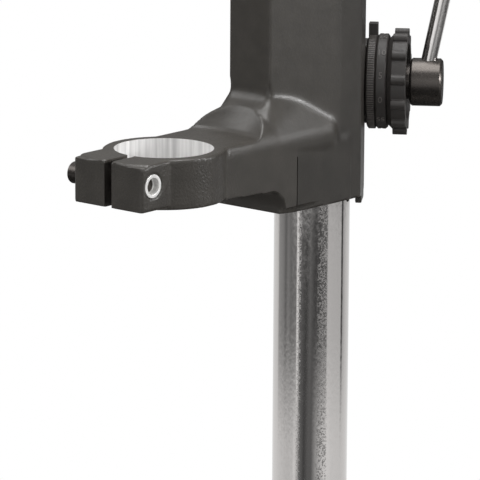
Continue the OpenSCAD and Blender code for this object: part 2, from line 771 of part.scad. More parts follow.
module gear_case() {
    color("dimgray") difference() {
        union() {
            turned(house_low_z) linear_extrude(case_h) polygon([
                [-joint_half_w, joint_reach], [joint_half_w, joint_reach],
                [joint_half_w, joint_reach + case_flange], [case_half_w - cup_wall, joint_reach + case_flange],
                [case_half_w - cup_wall, case_neck_n], [case_neck_half, case_neck_n + cup_wall],
                [case_neck_half, case_back_n - cup_wall], [case_neck_half - cup_wall, case_back_n],
                [cup_wall - case_neck_half, case_back_n], [-case_neck_half, case_back_n - cup_wall],
                [-case_neck_half, case_neck_n + cup_wall], [cup_wall - case_half_w, case_neck_n],
                [cup_wall - case_half_w, joint_reach + case_flange], [-joint_half_w, joint_reach + case_flange]]);
            intersection() {
                on_shaft(case_left_s) cylinder(r = boss_r, h = case_boss_s - case_left_s);
                turned(house_low_z) translate([-throat, joint_reach, 0])
                    cube([2 * throat, case_neck_n + cup_wall - joint_reach, case_h]);
            }
            on_shaft() cylinder(r = spigot_r, h = ring_s + ring_w);
            turned(shaft_z) translate([0, case_back_n - cup_wall, 0]) rotate([-90, 0, 0])
                cylinder(r = case_neck_half - cup_wall, h = 2 * cup_wall);
        }
        on_shaft() cylinder(r = chamber_r, h = 2 * case_chamber_half, center = true);
        on_shaft(case_left_s - cut) cylinder(r = shaft_bush_r, h = throat);
        turned(house_low_z - cut) translate([-rack_channel_half, rack_tip_n - face_gap, 0])
            cube([2 * rack_channel_half, rack_back_n - rack_tip_n + 2 * face_gap, case_h + 2 * cut]);
        turned(shaft_z) translate([0, rack_back_n, 0]) rotate([-90, 0, 0])
            cylinder(r = adjust_r, h = case_back + 2 * cup_wall + cut);
        case_screw_places(joint_reach - cut, case_flange + 2 * cut, case_screw_r + run_gap);
        cup_screw_holes(case_left_s - cut, case_half_w / 2 + cut);
    }
}

module gear_case_screws() {
    color("black") turned() for (s = [-case_screw_s, case_screw_s], z = [case_screw_low, case_screw_high])
        translate([s, joint_reach + case_flange, z]) rotate([-90, 0, 0])
            cap_screw(case_screw_r, case_flange + case_screw_grip - face_gap);
}

adjust_r = 4;
pad_l = 3;
pad_r = adjust_r - run_gap;
nut_h = 4;
nut_r = 7.4;
boss_end_n = case_back_n + cup_wall;

module rack_pad() {
    color("goldenrod") turned(shaft_z) translate([0, rack_back_n + run_gap, 0]) rotate([-90, 0, 0])
        cylinder(r = pad_r, h = pad_l);
}

module rack_adjusting_screw() {
    color("black") turned(shaft_z) translate([0, rack_back_n + run_gap + pad_l, 0]) rotate([-90, 0, 0]) difference() {
        length = boss_end_n + nut_h + pad_l / 2 - rack_back_n - pad_l;
        cylinder(r = adjust_r, h = length);
        translate([0, 0, length - adjust_r]) cylinder(r = adjust_r / 2, h = adjust_r + cut, $fn = 6);
    }
}

module rack_lock_nut() {
    color("silver") turned(shaft_z) translate([0, boss_end_n, 0]) rotate([-90, 0, 0]) difference() {
        cylinder(r = nut_r, h = nut_h, $fn = 6);
        translate([0, 0, -cut]) cylinder(r = adjust_r + run_gap, h = nut_h + 2 * cut);
    }
}

// Bush round the lever shaft, between two places along it
module shaft_bush(from, to) {
    on_shaft(from) difference() {
        cylinder(r = shaft_bush_r, h = to - from);
        translate([0, 0, -cut]) cylinder(r = shaft_r + run_gap, h = to - from + 2 * cut);
    }
}

module right_shaft_bush() {
    color("goldenrod") shaft_bush(case_chamber_half, ring_s + ring_w);
}

module left_shaft_bush() {
    color("goldenrod") shaft_bush(case_left_s, -case_chamber_half);
}

// Involute pinion, with a tooth pointing away from the column
function involute(a) = tan(a) * 180 / PI - a;
tooth_half_deg = (tooth_pitch - backlash) / 4 / pitch_r * 180 / PI;
function flank_deg(r) = tooth_half_deg + involute(pressure_angle)
    - (r > base_circle_r ? involute(acos(base_circle_r / r)) : 0);
flank_steps = 5;
flank_radii = concat([pinion_root_r], [for (i = [0:flank_steps])
    base_circle_r + (pinion_tip_r - base_circle_r) * i / flank_steps]);
function polar(r, a) = [r * cos(a), r * sin(a)];
pinion_outline = [for (k = [0:pinion_teeth - 1]) let (mid = 90 + k * 360 / pinion_teeth)
    each concat([for (r = flank_radii) polar(r, mid - flank_deg(r))],
                [for (i = [len(flank_radii) - 1:-1:0]) polar(flank_radii[i], mid + flank_deg(flank_radii[i]))])];

module drive_pinion() {
    color("lightsteelblue") on_shaft(-pinion_w / 2) difference() {
        linear_extrude(pinion_w) polygon(pinion_outline);
        translate([0, 0, -cut]) cylinder(r = shaft_r + run_gap / 2, h = pinion_w + 2 * cut);
        translate([-pinion_tip_r - cut, 0, pinion_w / 2]) rotate([0, 90, 0])
            cylinder(r = pin_r, h = 2 * (pinion_tip_r + cut));
    }
}

pin_r = 1.5;

module pinion_pin() {
    color("silver") on_shaft() translate([-pinion_root_r, 0, 0]) rotate([0, 90, 0])
        cylinder(r = pin_r, h = 2 * pinion_root_r);
}

shoulder_step = 2;
shoulder_r = shaft_r + shoulder_step;
shoulder_s = drum_s + face_gap / 2;
arbor_end_s = cup_end_s + cup_wall + face_gap;

module pinion_shaft() {
    color("silver") on_shaft() difference() {
        union() {
            rod(shaft_r, case_left_s - face_gap, shaft_end_s);
            rod(spring_arbor_r, arbor_end_s, 0);
            rod(shoulder_r, shoulder_s, hub_s);
        }
        translate([-pinion_tip_r, 0, 0]) rotate([0, 90, 0]) cylinder(r = pin_r, h = 2 * pinion_tip_r);
        translate([0, 0, shaft_end_s - hub_w / 2]) cylinder(r = case_screw_r + run_gap, h = hub_w);
    }
}

// Return spring and its cup
module cup_screw_holes(from, depth) {
    on_shaft(from) for (a = [-90, 90]) rotate(a) translate([0, cup_r - 3 * cup_screw_r, 0])
        cylinder(r = cup_screw_r, h = depth);
}

module spring_cup() {
    color("dimgray") difference() {
        on_shaft(cup_end_s) difference() {
            cylinder(r = cup_r, h = cup_w);
            translate([0, 0, cup_wall]) cylinder(r = cup_r - cup_wall, h = cup_w);
        }
        cup_screw_holes(cup_end_s - cut, cup_w);
    }
}

module spring_cup_screws() {
    color("black") on_shaft(cup_end_s) for (a = [-90, 90]) rotate(a) translate([0, cup_r - 3 * cup_screw_r, 0])
        rotate([180, 0, 0]) cap_screw(cup_screw_r, cup_w + case_half_w / 2 - face_gap);
}

strip_low_r = spring_arbor_r + face_gap;
strip_high_r = cup_r - 4 * cup_screw_r - face_gap;
strip_steps = 20;
function strip_r(t) = strip_low_r + (strip_high_r - strip_t - strip_low_r) * t;
strip_total = strip_turns * strip_steps;
strip_outline = concat(
    [for (i = [0:strip_total]) polar(strip_r(i / strip_total), i * 360 / strip_steps)],
    [for (i = [strip_total:-1:0]) polar(strip_r(i / strip_total) + strip_t, i * 360 / strip_steps)]);

module return_spring() {
    color("steelblue") on_shaft(cup_end_s + 2 * cup_wall)
        linear_extrude(cup_w - 4 * cup_wall) polygon(strip_outline);
}

// Index ring, scale drum and star nut
rim_chamfer = 0.6;

module index_ring() {
    color("black") on_shaft(ring_s) difference() {
        union() {
            chamfered_rod(ring_r, 0, ring_w, rim_chamfer);
            translate([-ring_r - pointer_h, -pointer_w / 2, 0]) cube([pointer_h + rim_chamfer * 3, pointer_w, ring_w]);
        }
        translate([0, 0, -cut]) cylinder(r = spigot_r + run_gap, h = ring_w + 2 * cut);
    }
}

module scale_drum() {
    color("black") on_shaft(drum_s) difference() {
        chamfered_rod(ring_r, 0, drum_w - face_gap / 3, rim_chamfer);
        translate([0, 0, -cut]) cylinder(r = shoulder_r + run_gap, h = drum_w + 2 * cut);
    }
}

lobe_half_deg = 5.5;
core_share = 0.9;
recess_share = 0.8;
lobe_half_w = star_r * sin(lobe_half_deg);
star_core_r = star_r * core_share;
star_cone_h = star_w / 4;

module star_nut() {
    color("black") on_shaft(star_s) rotate(star_turn) difference() {
        union() {
            cylinder(r1 = star_core_r - star_cone_h, r2 = star_core_r, h = star_cone_h);
            translate([0, 0, star_cone_h]) linear_extrude(star_w - star_cone_h) union() {
                circle(r = star_core_r);
                for (k = [0:star_lobes - 1]) rotate(k * 360 / star_lobes) {
                    translate([0, -lobe_half_w]) square([star_r - lobe_half_w, 2 * lobe_half_w]);
                    translate([star_r - lobe_half_w, 0]) circle(r = lobe_half_w, $fn = 24);
                }
            }
        }
        translate([0, 0, -cut]) cylinder(r = shoulder_r + run_gap, h = star_w + 2 * cut);
        translate([0, 0, star_w - star_cone_h]) cylinder(r = star_core_r * recess_share, h = star_w);
    }
}

// Lever
hub_chamfer = 1;

module on_rod() {
    on_shaft(rod_s) rotate([0, rod_lean - 90, 0]) children();
}

module lever_hub() {
    color("black") difference() {
        on_shaft() difference() {
            chamfered_rod(hub_r, hub_s, hub_end_s, hub_chamfer);
            rod(shaft_r + run_gap / 2, hub_s - cut, hub_screw_s - bush_wall);
            rod(case_screw_r + run_gap, hub_s, hub_end_s);
            rod(screw_head_share * case_screw_r + run_gap, hub_screw_s, hub_end_s + cut);
        }
        on_rod() rod(rod_r, shaft_r + hub_chamfer, rod_l);
    }
}

module hub_end_screw() {
    color("black") on_shaft(hub_screw_s) cap_screw(case_screw_r, hub_w / 2);
}

module lever_rod() {
    color("silver") on_rod() rod(rod_r, shaft_r + hub_chamfer, rod_l);
}

module lever_knob() {
    color("black") on_rod() difference() {
        translate([0, 0, rod_l + knob_r / 2]) sphere(r = knob_r);
        translate([0, 0, rod_l - knob_r]) cylinder(r = rod_r, h = knob_r);
    }
}

base_plate();
base_clamp_screw();
column();
clamp_bush();
clamp_ring();
rack_bar();
rack_screws();
clamp_lever_stud();
clamp_lever_rod();
clamp_lever_knob();
head_casting();
collar_screw_insert();
collar_clamp_screw();
upper_guide_bush();
lower_guide_bush();
rubber_buffer();
gear_case();
gear_case_screws();
rack_pad();
rack_adjusting_screw();
rack_lock_nut();
right_shaft_bush();
left_shaft_bush();
drive_pinion();
pinion_shaft();
pinion_pin();
spring_cup();
spring_cup_screws();
return_spring();
index_ring();
scale_drum();
star_nut();
lever_hub();
hub_end_screw();
lever_rod();
lever_knob();
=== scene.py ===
"""Looks of a bench drill stand: castings, machined faces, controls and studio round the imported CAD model."""

import json
import math

import bpy
from mathutils import Matrix, Vector


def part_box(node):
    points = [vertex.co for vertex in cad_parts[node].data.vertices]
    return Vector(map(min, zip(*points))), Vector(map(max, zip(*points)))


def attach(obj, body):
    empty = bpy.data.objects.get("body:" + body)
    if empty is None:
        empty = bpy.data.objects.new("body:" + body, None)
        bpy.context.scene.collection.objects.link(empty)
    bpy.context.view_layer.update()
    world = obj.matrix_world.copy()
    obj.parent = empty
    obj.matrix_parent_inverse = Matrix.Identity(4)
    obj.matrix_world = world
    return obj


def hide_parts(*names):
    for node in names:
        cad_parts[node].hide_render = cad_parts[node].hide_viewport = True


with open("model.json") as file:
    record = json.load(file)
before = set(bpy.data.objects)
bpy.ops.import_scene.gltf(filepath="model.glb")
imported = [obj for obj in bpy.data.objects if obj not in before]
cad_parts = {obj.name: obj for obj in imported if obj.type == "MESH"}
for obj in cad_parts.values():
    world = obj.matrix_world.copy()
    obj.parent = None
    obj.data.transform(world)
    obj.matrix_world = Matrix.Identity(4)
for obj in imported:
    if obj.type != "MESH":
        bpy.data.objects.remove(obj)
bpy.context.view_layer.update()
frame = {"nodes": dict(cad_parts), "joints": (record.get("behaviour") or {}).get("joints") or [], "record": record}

bl_info = {
    "name": "Bench drill stand",
    "version": (1, 0, 0),
    "blender": (4, 5, 0),
    "location": "View3D > Sidebar > Drill stand",
    "description": "Dresses the drill stand with its cast, machined and moulded finishes",
    "category": "Object",
}

MM = 0.001
JOINTS = {joint["name"]: joint for joint in frame["joints"]}
MOUNTS = {mount["name"]: mount for mount in frame["record"]["mounts"]}

# The lever shaft: its direction, the way from the column to it, and its place on the column's plane
SHAFT = Vector(JOINTS["feed_lever_turn"]["axis"]).normalized()
AWAY = Vector((-SHAFT.y, SHAFT.x, 0))
SHAFT_FOOT = Vector(JOINTS["feed_lever_turn"]["pos_m"])
# Local Z along the shaft, local Y away from the column, local X down, as in the CAD source
SHAFT_FRAME = Matrix.Translation(SHAFT_FOOT) @ Matrix(
    ((0, AWAY.x, SHAFT.x, 0), (0, AWAY.y, SHAFT.y, 0), (-1, 0, 0, 0), (0, 0, 0, 1))
)

# The drill collar: its middle, the radius of its bore, its height and its top
COLLAR = Vector(MOUNTS["drill_collar"]["pos_m"])
COLLAR_BORE_R = MOUNTS["drill_collar"]["dims"]["r_mm"] * MM
COLLAR_H = MOUNTS["drill_collar"]["dims"]["length_mm"] * MM
COLLAR_TOP = COLLAR.z + COLLAR_H / 2

# The collar's slot and ears: half the slot's width, the ears' reach from the axis, how far below the
# collar's top their underside and their upper face lie, and the radius of the screw's hole
SLOT_HALF = 2 * MM
EAR_REACH = 36 * MM
EAR_DROP = 20.3 * MM
EAR_STEP = 0.8 * MM
SCREW_HOLE_R = 3.05 * MM

# The column housing: half the width of its nose and its place before the column, the way that its right
# flank faces, and how far a lug hangs under it
NOSE_HALF = 11.4 * MM
NOSE_Y = -44.3 * MM
FLANK_OUT = Vector((0.968, -0.249, 0))
LUG_DROP = 4 * MM

# The wide hollow round the arm's root is a quarter ellipse on each flank. It starts at the nose,
# and this is its foot, its reach to the rear and its rise
HOLLOW_LOW = COLLAR_TOP - 15 * MM
HOLLOW_REACH = 37.5 * MM
HOLLOW_RISE = 30.5 * MM

# The flare that carries the arm's side on to the flank runs along the arm, from a round end before the
# nose to a wider one at the rear: its axis, its two radii, the rear end's place, how thick the ends are,
# and how far the front end leads the nose on the right (1) and the left (-1)
FLARE_X = 5 * MM
FLARE_Z = COLLAR_TOP - 5.5 * MM
FLARE_FRONT_R = 15.9 * MM
FLARE_REAR_R = 17 * MM
FLARE_REAR_Y = -10.5 * MM
FLARE_END = 0.5 * MM
FLARE_LEAD = {1: 7 * MM, -1: 2.6 * MM}
# What the flare stays clear of: the hollow behind the collar, and the fillet before the nose
CLEAR_R = 53 * MM
FILLET_R = 8 * MM
FILLET_Z = COLLAR_TOP + 18.5 * MM

# The mould's seam, a fine groove down each side of the housing's foot
SEAM_FRONT = -36.6 * MM
SEAM_BACK = -36.05 * MM
SEAM_INNER = 20.6 * MM
SEAM_OUTER = 22 * MM
SEAM_TOP = COLLAR_TOP - 11 * MM

# Painted shade darkens the enamel over this stretch behind the flanks, and over this drop down the foot
PAINTED_SHADE_FROM = -11 * MM
PAINTED_SHADE_TO = -5 * MM
PAINTED_SHADE_DROP = 16 * MM
# The collar keeps its rough sand skin up to the first place, and the arm is smooth from the second
ROUGH_TO = COLLAR.y + 17.2 * MM
SMOOTH_FROM = COLLAR.y + 29.2 * MM

# Holes are filled while the casting is rounded. A fill grips the wall by this much, and its ends stay
# this far inside the collar's bore, its slot and the column's bore
FILL_GRIP = 0.4 * MM
BORE_INSET = 0.01 * MM
SLOT_INSET = 0.02 * MM
GUIDE_INSET = 0.1 * MM
# How far cutters run past a face, and how far above the collar they reach
OVERRUN = 2 * MM
CUT_ABOVE = 14 * MM
# Passes that soften the arm's root, and the faces that the rounded casting keeps
SOFT_PASSES = 36
CASTING_FACES = 70000

# Height of the milled table above the bench
TABLE_TOP = 24 * MM

# The column's right front, where the height clamp has rubbed two tracks: the stretch of bearings round
# the column, and how rough each place of it is
RUBBED_FROM = math.radians(-80)
RUBBED_TO = math.radians(-20)
RUBBED_TRACKS = (
    (0.0, 0.0), (0.11, 0.0), (0.16, 1.0), (0.18, 1.0), (0.24, 0.0), (0.62, 0.0), (0.72, 0.6), (0.86, 0.6),
    (0.94, 0.0))

# Ticks of the index ring: half a tick's width, its depth in the rim, and the margins at its two ends
TICK_HALF = 0.22 * MM
TICK_DEPTH = 0.3 * MM
TICK_START = 0.7 * MM
TICK_STOP = 0.5 * MM

# Numbers of the drum: how many, the step between them, and the bearing of the first round the shaft
NUMBER_COUNT = 12
NUMBER_STEP = 5
NUMBER_START = math.radians(283.5)
# A font's size is this many times the height of its digits
FONT_SHARE = 1.35
NUMBER_DEPTH = 0.18 * MM

# The camera, found by fitting the projected edges of the stand to the photograph. The focal length is
# in pixels of the photograph's width, the sensor in millimetres, and the distance and the two shifts
# in metres from the column's axis at the collar's top
PHOTO_WIDTH = 480
CAMERA_AZIMUTH = math.radians(39.933)
CAMERA_ELEVATION = math.radians(12.687)
CAMERA_ROLL = math.radians(0.332)
CAMERA_FOCUS = 4274.06
CAMERA_DISTANCE = 1.905704
CAMERA_RIGHT = -0.032476
CAMERA_UP = -0.056063
SENSOR_WIDTH = 36

# Lamps: name, place, width and height in metres, and power in watts
LAMPS = (
    ("ceiling", (0.0, 0.0, 1.7), 1.2, 1.2, 26),
    # A small one at the right rear draws the bright line on the arm's root
    ("right", (1.2, 0.7, 0.58), 0.25, 0.3, 9),
    ("left_front", (-1.3, -0.9, 1.2), 0.9, 0.9, 8),
    ("front", (1.2, -1.0, 0.75), 0.5, 0.5, 2.6),
)
LAMP_AIM = Vector((0, -0.05, 0.28))

# Radius of the pale floor, its depth under the stand, and its own light for the camera
FLOOR_R = 0.35
FLOOR_DROP = 0.2 * MM
FLOOR_GLOW = 0.45

# Shades of the room, each by its place once round from 0 to 1, which counts from this bearing
ROOM_START = math.radians(130)
# A narrow band under the horizon, which the upper stretch of the upright bar mirrors
BAND_SHADES = (
    (0.0, 0.9), (0.14, 0.85), (0.166, 0.75), (0.175, 0.4), (0.235, 0.3), (0.262, 0.17), (0.29, 0.28),
    (0.32, 0.19), (0.368, 0.22), (0.378, 1.1), (0.389, 1.0), (0.398, 0.16), (0.458, 0.07), (0.49, 0.16),
    (0.53, 0.07), (0.57, 0.08), (0.6, 0.13), (0.632, 0.14), (0.64, 0.68), (0.782, 0.64), (0.789, 0.08),
    (0.805, 0.08), (0.814, 0.55), (0.86, 0.75), (1.0, 0.9))
# The foot of the walls, which its lower stretch mirrors
FOOT_SHADES = (
    (0.0, 0.9), (0.15, 0.92), (0.3, 0.78), (0.345, 0.85), (0.362, 1.0), (0.385, 0.7), (0.405, 0.2),
    (0.445, 0.08), (0.478, 0.15), (0.51, 0.16), (0.53, 0.35), (0.56, 0.6), (0.6, 0.88), (0.64, 1.0),
    (0.7, 0.9), (0.8, 0.86), (1.0, 0.95))
# The walls above the band, darker on the right and behind
WALL_SHADES = (
    (0.0, 0.2), (0.25, 0.12), (0.31, 0.12), (0.34, 0.95), (0.47, 0.95), (0.51, 0.4), (0.66, 0.4),
    (0.71, 0.25), (0.75, 0.05), (0.97, 0.05), (1.0, 0.2))
CEILING_SHADE = 0.55
GROUND_SHADE = 0.05
# Where the band turns into each of them, as the upward share of a direction
FOOT_SPAN = {"From Min": -0.242, "From Max": -0.264}
WALL_SPAN = {"From Min": -0.212, "From Max": -0.198}
CEILING_SPAN = {"From Min": 0.25, "From Max": 0.75}
GROUND_SPAN = {"From Min": -0.285, "From Max": -0.34}

# Most of a noise pattern lies in this span
NOISE_SPAN = {"From Min": 0.3, "From Max": 0.7}


def linear(code):
    """A linear colour from an sRGB hex value."""
    channels = [int(code[i : i + 2], 16) / 255 for i in (0, 2, 4)]
    return tuple(c / 12.92 if c <= 0.04045 else ((c + 0.055) / 1.055) ** 2.4 for c in channels) + (1,)


class StandSettings(bpy.types.PropertyGroup):
    """Sizes and colours of the dressed stand."""

    paint: bpy.props.FloatVectorProperty(
        name="Paint", description="Colour of the stove enamel on the castings",
        size=4, subtype="COLOR", min=0, max=1, default=linear("3c3935"))
    plastic: bpy.props.FloatVectorProperty(
        name="Moulded plastic", description="Colour of the ring, the drum and the star nut",
        size=4, subtype="COLOR", min=0, max=1, default=linear("34312f"))
    casting_voxel: bpy.props.FloatProperty(
        name="Casting detail", description="Size of the cells that round the cast edges",
        unit="LENGTH", min=0.4 * MM, max=3 * MM, default=0.7 * MM)
    casting_smooth: bpy.props.IntProperty(
        name="Edge rounding", description="Passes that round the cast edges", min=0, max=40, default=2)
    machined_chamfer: bpy.props.FloatProperty(
        name="Machined edge", description="Width of the broken edge on turned and milled parts",
        unit="LENGTH", min=0, max=2 * MM, default=0.3 * MM)
    tick_count: bpy.props.IntProperty(
        name="Ticks", description="Divisions round the index ring", min=12, max=240, default=120)
    tick_height: bpy.props.FloatProperty(
        name="Tick height", description="Height of a tick above the rim",
        unit="LENGTH", min=0, max=1 * MM, default=0.25 * MM)
    digit_size: bpy.props.FloatProperty(
        name="Digit size", description="Height of the numbers on the drum",
        unit="LENGTH", min=1 * MM, max=5 * MM, default=3.1 * MM)


# Materials


def add(owner, kind, inputs=None, stops=(), **settings):
    """Adds a node with its settings, its sockets by name or number, and the stops of a ramp."""
    node = owner.node_tree.nodes.new(kind)
    for name, value in settings.items():
        setattr(node, name, value)
    for name, value in (inputs or {}).items():
        if isinstance(value, bpy.types.NodeSocket):
            owner.node_tree.links.new(value, node.inputs[name])
        else:
            node.inputs[name].default_value = value
    for i, (place, shade) in enumerate(stops):
        stop = node.color_ramp.elements[i] if i < 2 else node.color_ramp.elements.new(place)
        stop.position = place
        stop.color = (shade, shade, shade, 1)
    return node


def new_material(name):
    """An empty node material, with its shader and the object's own coordinates."""
    material = bpy.data.materials.new(name)
    material.use_nodes = True
    shader = material.node_tree.nodes["Principled BSDF"]
    place = add(material, "ShaderNodeTexCoord").outputs["Object"]
    return material, shader, place


def finish_material(material, shader, colour, roughness, normal=None, **values):
    """Joins the patterns to the shader and sets its plain values on its own sockets."""
    for name, value in (("Base Color", colour), ("Roughness", roughness), ("Normal", normal)):
        if isinstance(value, bpy.types.NodeSocket):
            material.node_tree.links.new(value, shader.inputs[name])
        elif value is not None:
            shader.inputs[name].default_value = value
    for name, value in values.items():
        shader.inputs[name].default_value = value


def painted_rear_shade(material, parts, tone):
    """Painted shade on the head's enamel: darker behind the flanks, and on the foot behind the seam."""
    rear = add(material, "ShaderNodeMapRange", {
        "Value": parts["Y"], "From Min": PAINTED_SHADE_FROM, "From Max": PAINTED_SHADE_TO, "To Min": 1.0, "To Max": 0.72})
    seam = add(material, "ShaderNodeMapRange", {
        "Value": parts["Y"], "From Min": SEAM_FRONT - 0.3 * MM, "From Max": SEAM_BACK - 0.05 * MM,
        "To Max": 0.3})
    foot = add(material, "ShaderNodeMapRange", {
        "Value": parts["Z"], "From Min": COLLAR_TOP, "From Max": COLLAR_TOP - PAINTED_SHADE_DROP})
    below = add(material, "ShaderNodeMath", {0: seam.outputs["Result"], 1: foot.outputs["Result"]},
                operation="MULTIPLY")
    left = add(material, "ShaderNodeMath", {0: rear.outputs["Result"], 1: below.outputs["Value"]},
               operation="SUBTRACT")
    least = add(material, "ShaderNodeMath", {0: left.outputs["Value"], 1: 0.7}, operation="MAXIMUM")
    return add(material, "ShaderNodeMath", {0: tone, 1: least.outputs["Value"]},
               operation="MULTIPLY").outputs["Value"]


def painted_iron(name, paint, with_painted_shade=False):
    """Grey iron, sand cast and stove enamelled: a matt warm black skin over fine sand grain."""
    material, shader, place = new_material(name)
    # Sand grains of 0.4 mm are too fine to show, so they are drawn 1.1 mm wide, over waves 9 mm apart
    grain = add(material, "ShaderNodeTexNoise", {"Vector": place, "Scale": 1 / (1.1 * MM), "Detail": 3.0})
    waves = add(material, "ShaderNodeTexNoise", {"Vector": place, "Scale": 1 / (9 * MM), "Detail": 2.0})
    spread = add(material, "ShaderNodeMapRange", {
        "Value": waves.outputs["Fac"], **NOISE_SPAN, "To Min": 0.88, "To Max": 1.12})
    tone = spread.outputs["Result"]
    parts = add(material, "ShaderNodeSeparateXYZ", {"Vector": place}).outputs
    # On the head, painted shade darkens the tone behind the flanks and on the foot behind the seam
    if with_painted_shade:
        tone = painted_rear_shade(material, parts, tone)
    shade = add(material, "ShaderNodeHueSaturation", {"Value": tone, "Color": paint})
    gloss = add(material, "ShaderNodeMapRange", {
        "Value": grain.outputs["Fac"], **NOISE_SPAN, "To Min": 0.3, "To Max": 0.4})
    low = add(material, "ShaderNodeBump", {
        "Height": waves.outputs["Fac"], "Strength": 0.35, "Distance": 0.25 * MM})
    # The collar kept its rough sand skin, while the arm and the housing were fettled smoother
    rough = add(material, "ShaderNodeMapRange", {
        "Value": parts["Y"], "From Min": ROUGH_TO, "From Max": SMOOTH_FROM, "To Min": 1.0, "To Max": 0.2})
    skin = add(material, "ShaderNodeBump", {
        "Height": grain.outputs["Fac"], "Strength": rough.outputs["Result"], "Distance": 0.2 * MM,
        "Normal": low.outputs["Normal"]})
    finish_material(material, shader, shade.outputs["Color"], gloss.outputs["Result"],
                    skin.outputs["Normal"], IOR=1.5)


def machined(name, code, roughness, stretch, pitch, metallic=1.0, tone_range=(0.86, 1.06)):
    """Steel or iron with tool marks: lines of a pitch in millimetres, drawn out by the scale of each axis."""
    material, shader, place = new_material(name)
    # Real tool marks are 0.1 to 0.3 mm apart, too fine to show, so each pitch is drawn coarser
    lines_at = add(material, "ShaderNodeMapping", {"Vector": place, "Scale": stretch})
    lines = add(material, "ShaderNodeTexNoise", {
        "Vector": lines_at.outputs["Vector"], "Scale": 1 / (pitch * MM), "Detail": 4.0, "Roughness": 0.6})
    tone = add(material, "ShaderNodeMapRange", {
        "Value": lines.outputs["Fac"], **NOISE_SPAN, "To Min": tone_range[0], "To Max": tone_range[1]})
    shade = add(material, "ShaderNodeHueSaturation", {"Value": tone.outputs["Result"], "Color": linear(code)})
    gloss = add(material, "ShaderNodeMapRange", {
        "Value": lines.outputs["Fac"], **NOISE_SPAN, "To Min": roughness * 0.8, "To Max": roughness * 1.25})
    marks = add(material, "ShaderNodeBump", {
        "Height": lines.outputs["Fac"], "Strength": 0.5, "Distance": 0.02 * MM})
    finish_material(material, shader, shade.outputs["Color"], gloss.outputs["Result"],
                    marks.outputs["Normal"], Metallic=metallic)


def rubbed_tracks(material, place, parts, gloss):
    """The roughness of a bar with two frosted tracks down its right front, where a clamp has rubbed it."""
    bearing = add(material, "ShaderNodeMath", {0: parts["Y"], 1: parts["X"]}, operation="ARCTAN2")
    share = add(material, "ShaderNodeMapRange", {
        "Value": bearing.outputs["Value"], "From Min": RUBBED_FROM, "From Max": RUBBED_TO})
    track = add(material, "ShaderNodeValToRGB", {"Fac": share.outputs["Result"]}, stops=RUBBED_TRACKS)
    # The scratches are drawn as specks 0.9 mm wide, because finer ones don't show
    specks = add(material, "ShaderNodeTexNoise", {"Vector": place, "Scale": 1 / (0.9 * MM), "Detail": 2.0})
    worn = add(material, "ShaderNodeMapRange", {
        "Value": specks.outputs["Fac"], "From Min": 0.5, "From Max": 0.58, "To Max": 0.42})
    return add(material, "ShaderNodeMath", {0: worn.outputs["Result"], 1: track.outputs["Color"], 2: gloss},
               operation="MULTIPLY_ADD").outputs["Value"]


def ground_steel(name):
    """Cold drawn bar, ground and bright: long draw lines up the bar and a fine frosted speckle."""
    material, shader, place = new_material(name)
    parts = add(material, "ShaderNodeSeparateXYZ", {"Vector": place}).outputs
    # Draw lines 0.2 mm apart and frost of 0.1 mm are too fine to show, so they are drawn 1.6 and 1.2 mm wide
    up = add(material, "ShaderNodeMapping", {"Vector": place, "Scale": (1, 1, 0.02)})
    draw = add(material, "ShaderNodeTexNoise", {
        "Vector": up.outputs["Vector"], "Scale": 1 / (1.6 * MM), "Detail": 1.0})
    patch = add(material, "ShaderNodeMapping", {"Vector": place, "Scale": (1, 1, 0.45)})
    frost = add(material, "ShaderNodeTexNoise", {
        "Vector": patch.outputs["Vector"], "Scale": 1 / (1.2 * MM), "Detail": 1.0})
    gloss = add(material, "ShaderNodeMapRange", {
        "Value": frost.outputs["Fac"], **NOISE_SPAN, "To Min": 0.045, "To Max": 0.085})
    rubbed = rubbed_tracks(material, place, parts, gloss.outputs["Result"])
    # The end of the bar is left as the saw cut it, rough and dull
    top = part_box("column")[1].z
    sawn = add(material, "ShaderNodeMapRange", {
        "Value": parts["Z"], "From Min": top - 0.3 * MM, "From Max": top - 0.1 * MM})
    rough = add(material, "ShaderNodeMath", {0: sawn.outputs["Result"], 1: 0.4, 2: rubbed},
                operation="MULTIPLY_ADD")
    dull = add(material, "ShaderNodeMapRange", {
        "Value": sawn.outputs["Result"], "To Min": 1.0, "To Max": 0.4})
    shade = add(material, "ShaderNodeHueSaturation", {
        "Value": dull.outputs["Result"], "Color": linear("c9c6c4")})
    lines = add(material, "ShaderNodeBump", {
        "Height": draw.outputs["Fac"], "Strength": 0.2, "Distance": 0.02 * MM})
    skin = add(material, "ShaderNodeBump", {
        "Height": frost.outputs["Fac"], "Strength": 0.3, "Distance": 0.03 * MM,
        "Normal": lines.outputs["Normal"]})
    finish_material(material, shader, shade.outputs["Color"], rough.outputs["Value"],
                    skin.outputs["Normal"], Metallic=1.0)


def moulded(name, colour, low=0.38, high=0.5, grain_mm=0.8):
    """Moulded nylon, phenolic or rubber: an even skin with a faint orange peel."""
    material, shader, place = new_material(name)
    peel = add(material, "ShaderNodeTexNoise", {
        "Vector": place, "Scale": 1 / (grain_mm * MM), "Detail": 2.0})
    gloss = add(material, "ShaderNodeMapRange", {
        "Value": peel.outputs["Fac"], **NOISE_SPAN, "To Min": low, "To Max": high})
    tone = add(material, "ShaderNodeMapRange", {
        "Value": peel.outputs["Fac"], **NOISE_SPAN, "To Min": 0.94, "To Max": 1.06})
    shade = add(material, "ShaderNodeHueSaturation", {"Value": tone.outputs["Result"], "Color": colour})
    skin = add(material, "ShaderNodeBump", {
        "Height": peel.outputs["Fac"], "Strength": 0.3, "Distance": 0.05 * MM})
    finish_material(material, shader, shade.outputs["Color"], gloss.outputs["Result"],
                    skin.outputs["Normal"], IOR=1.5)


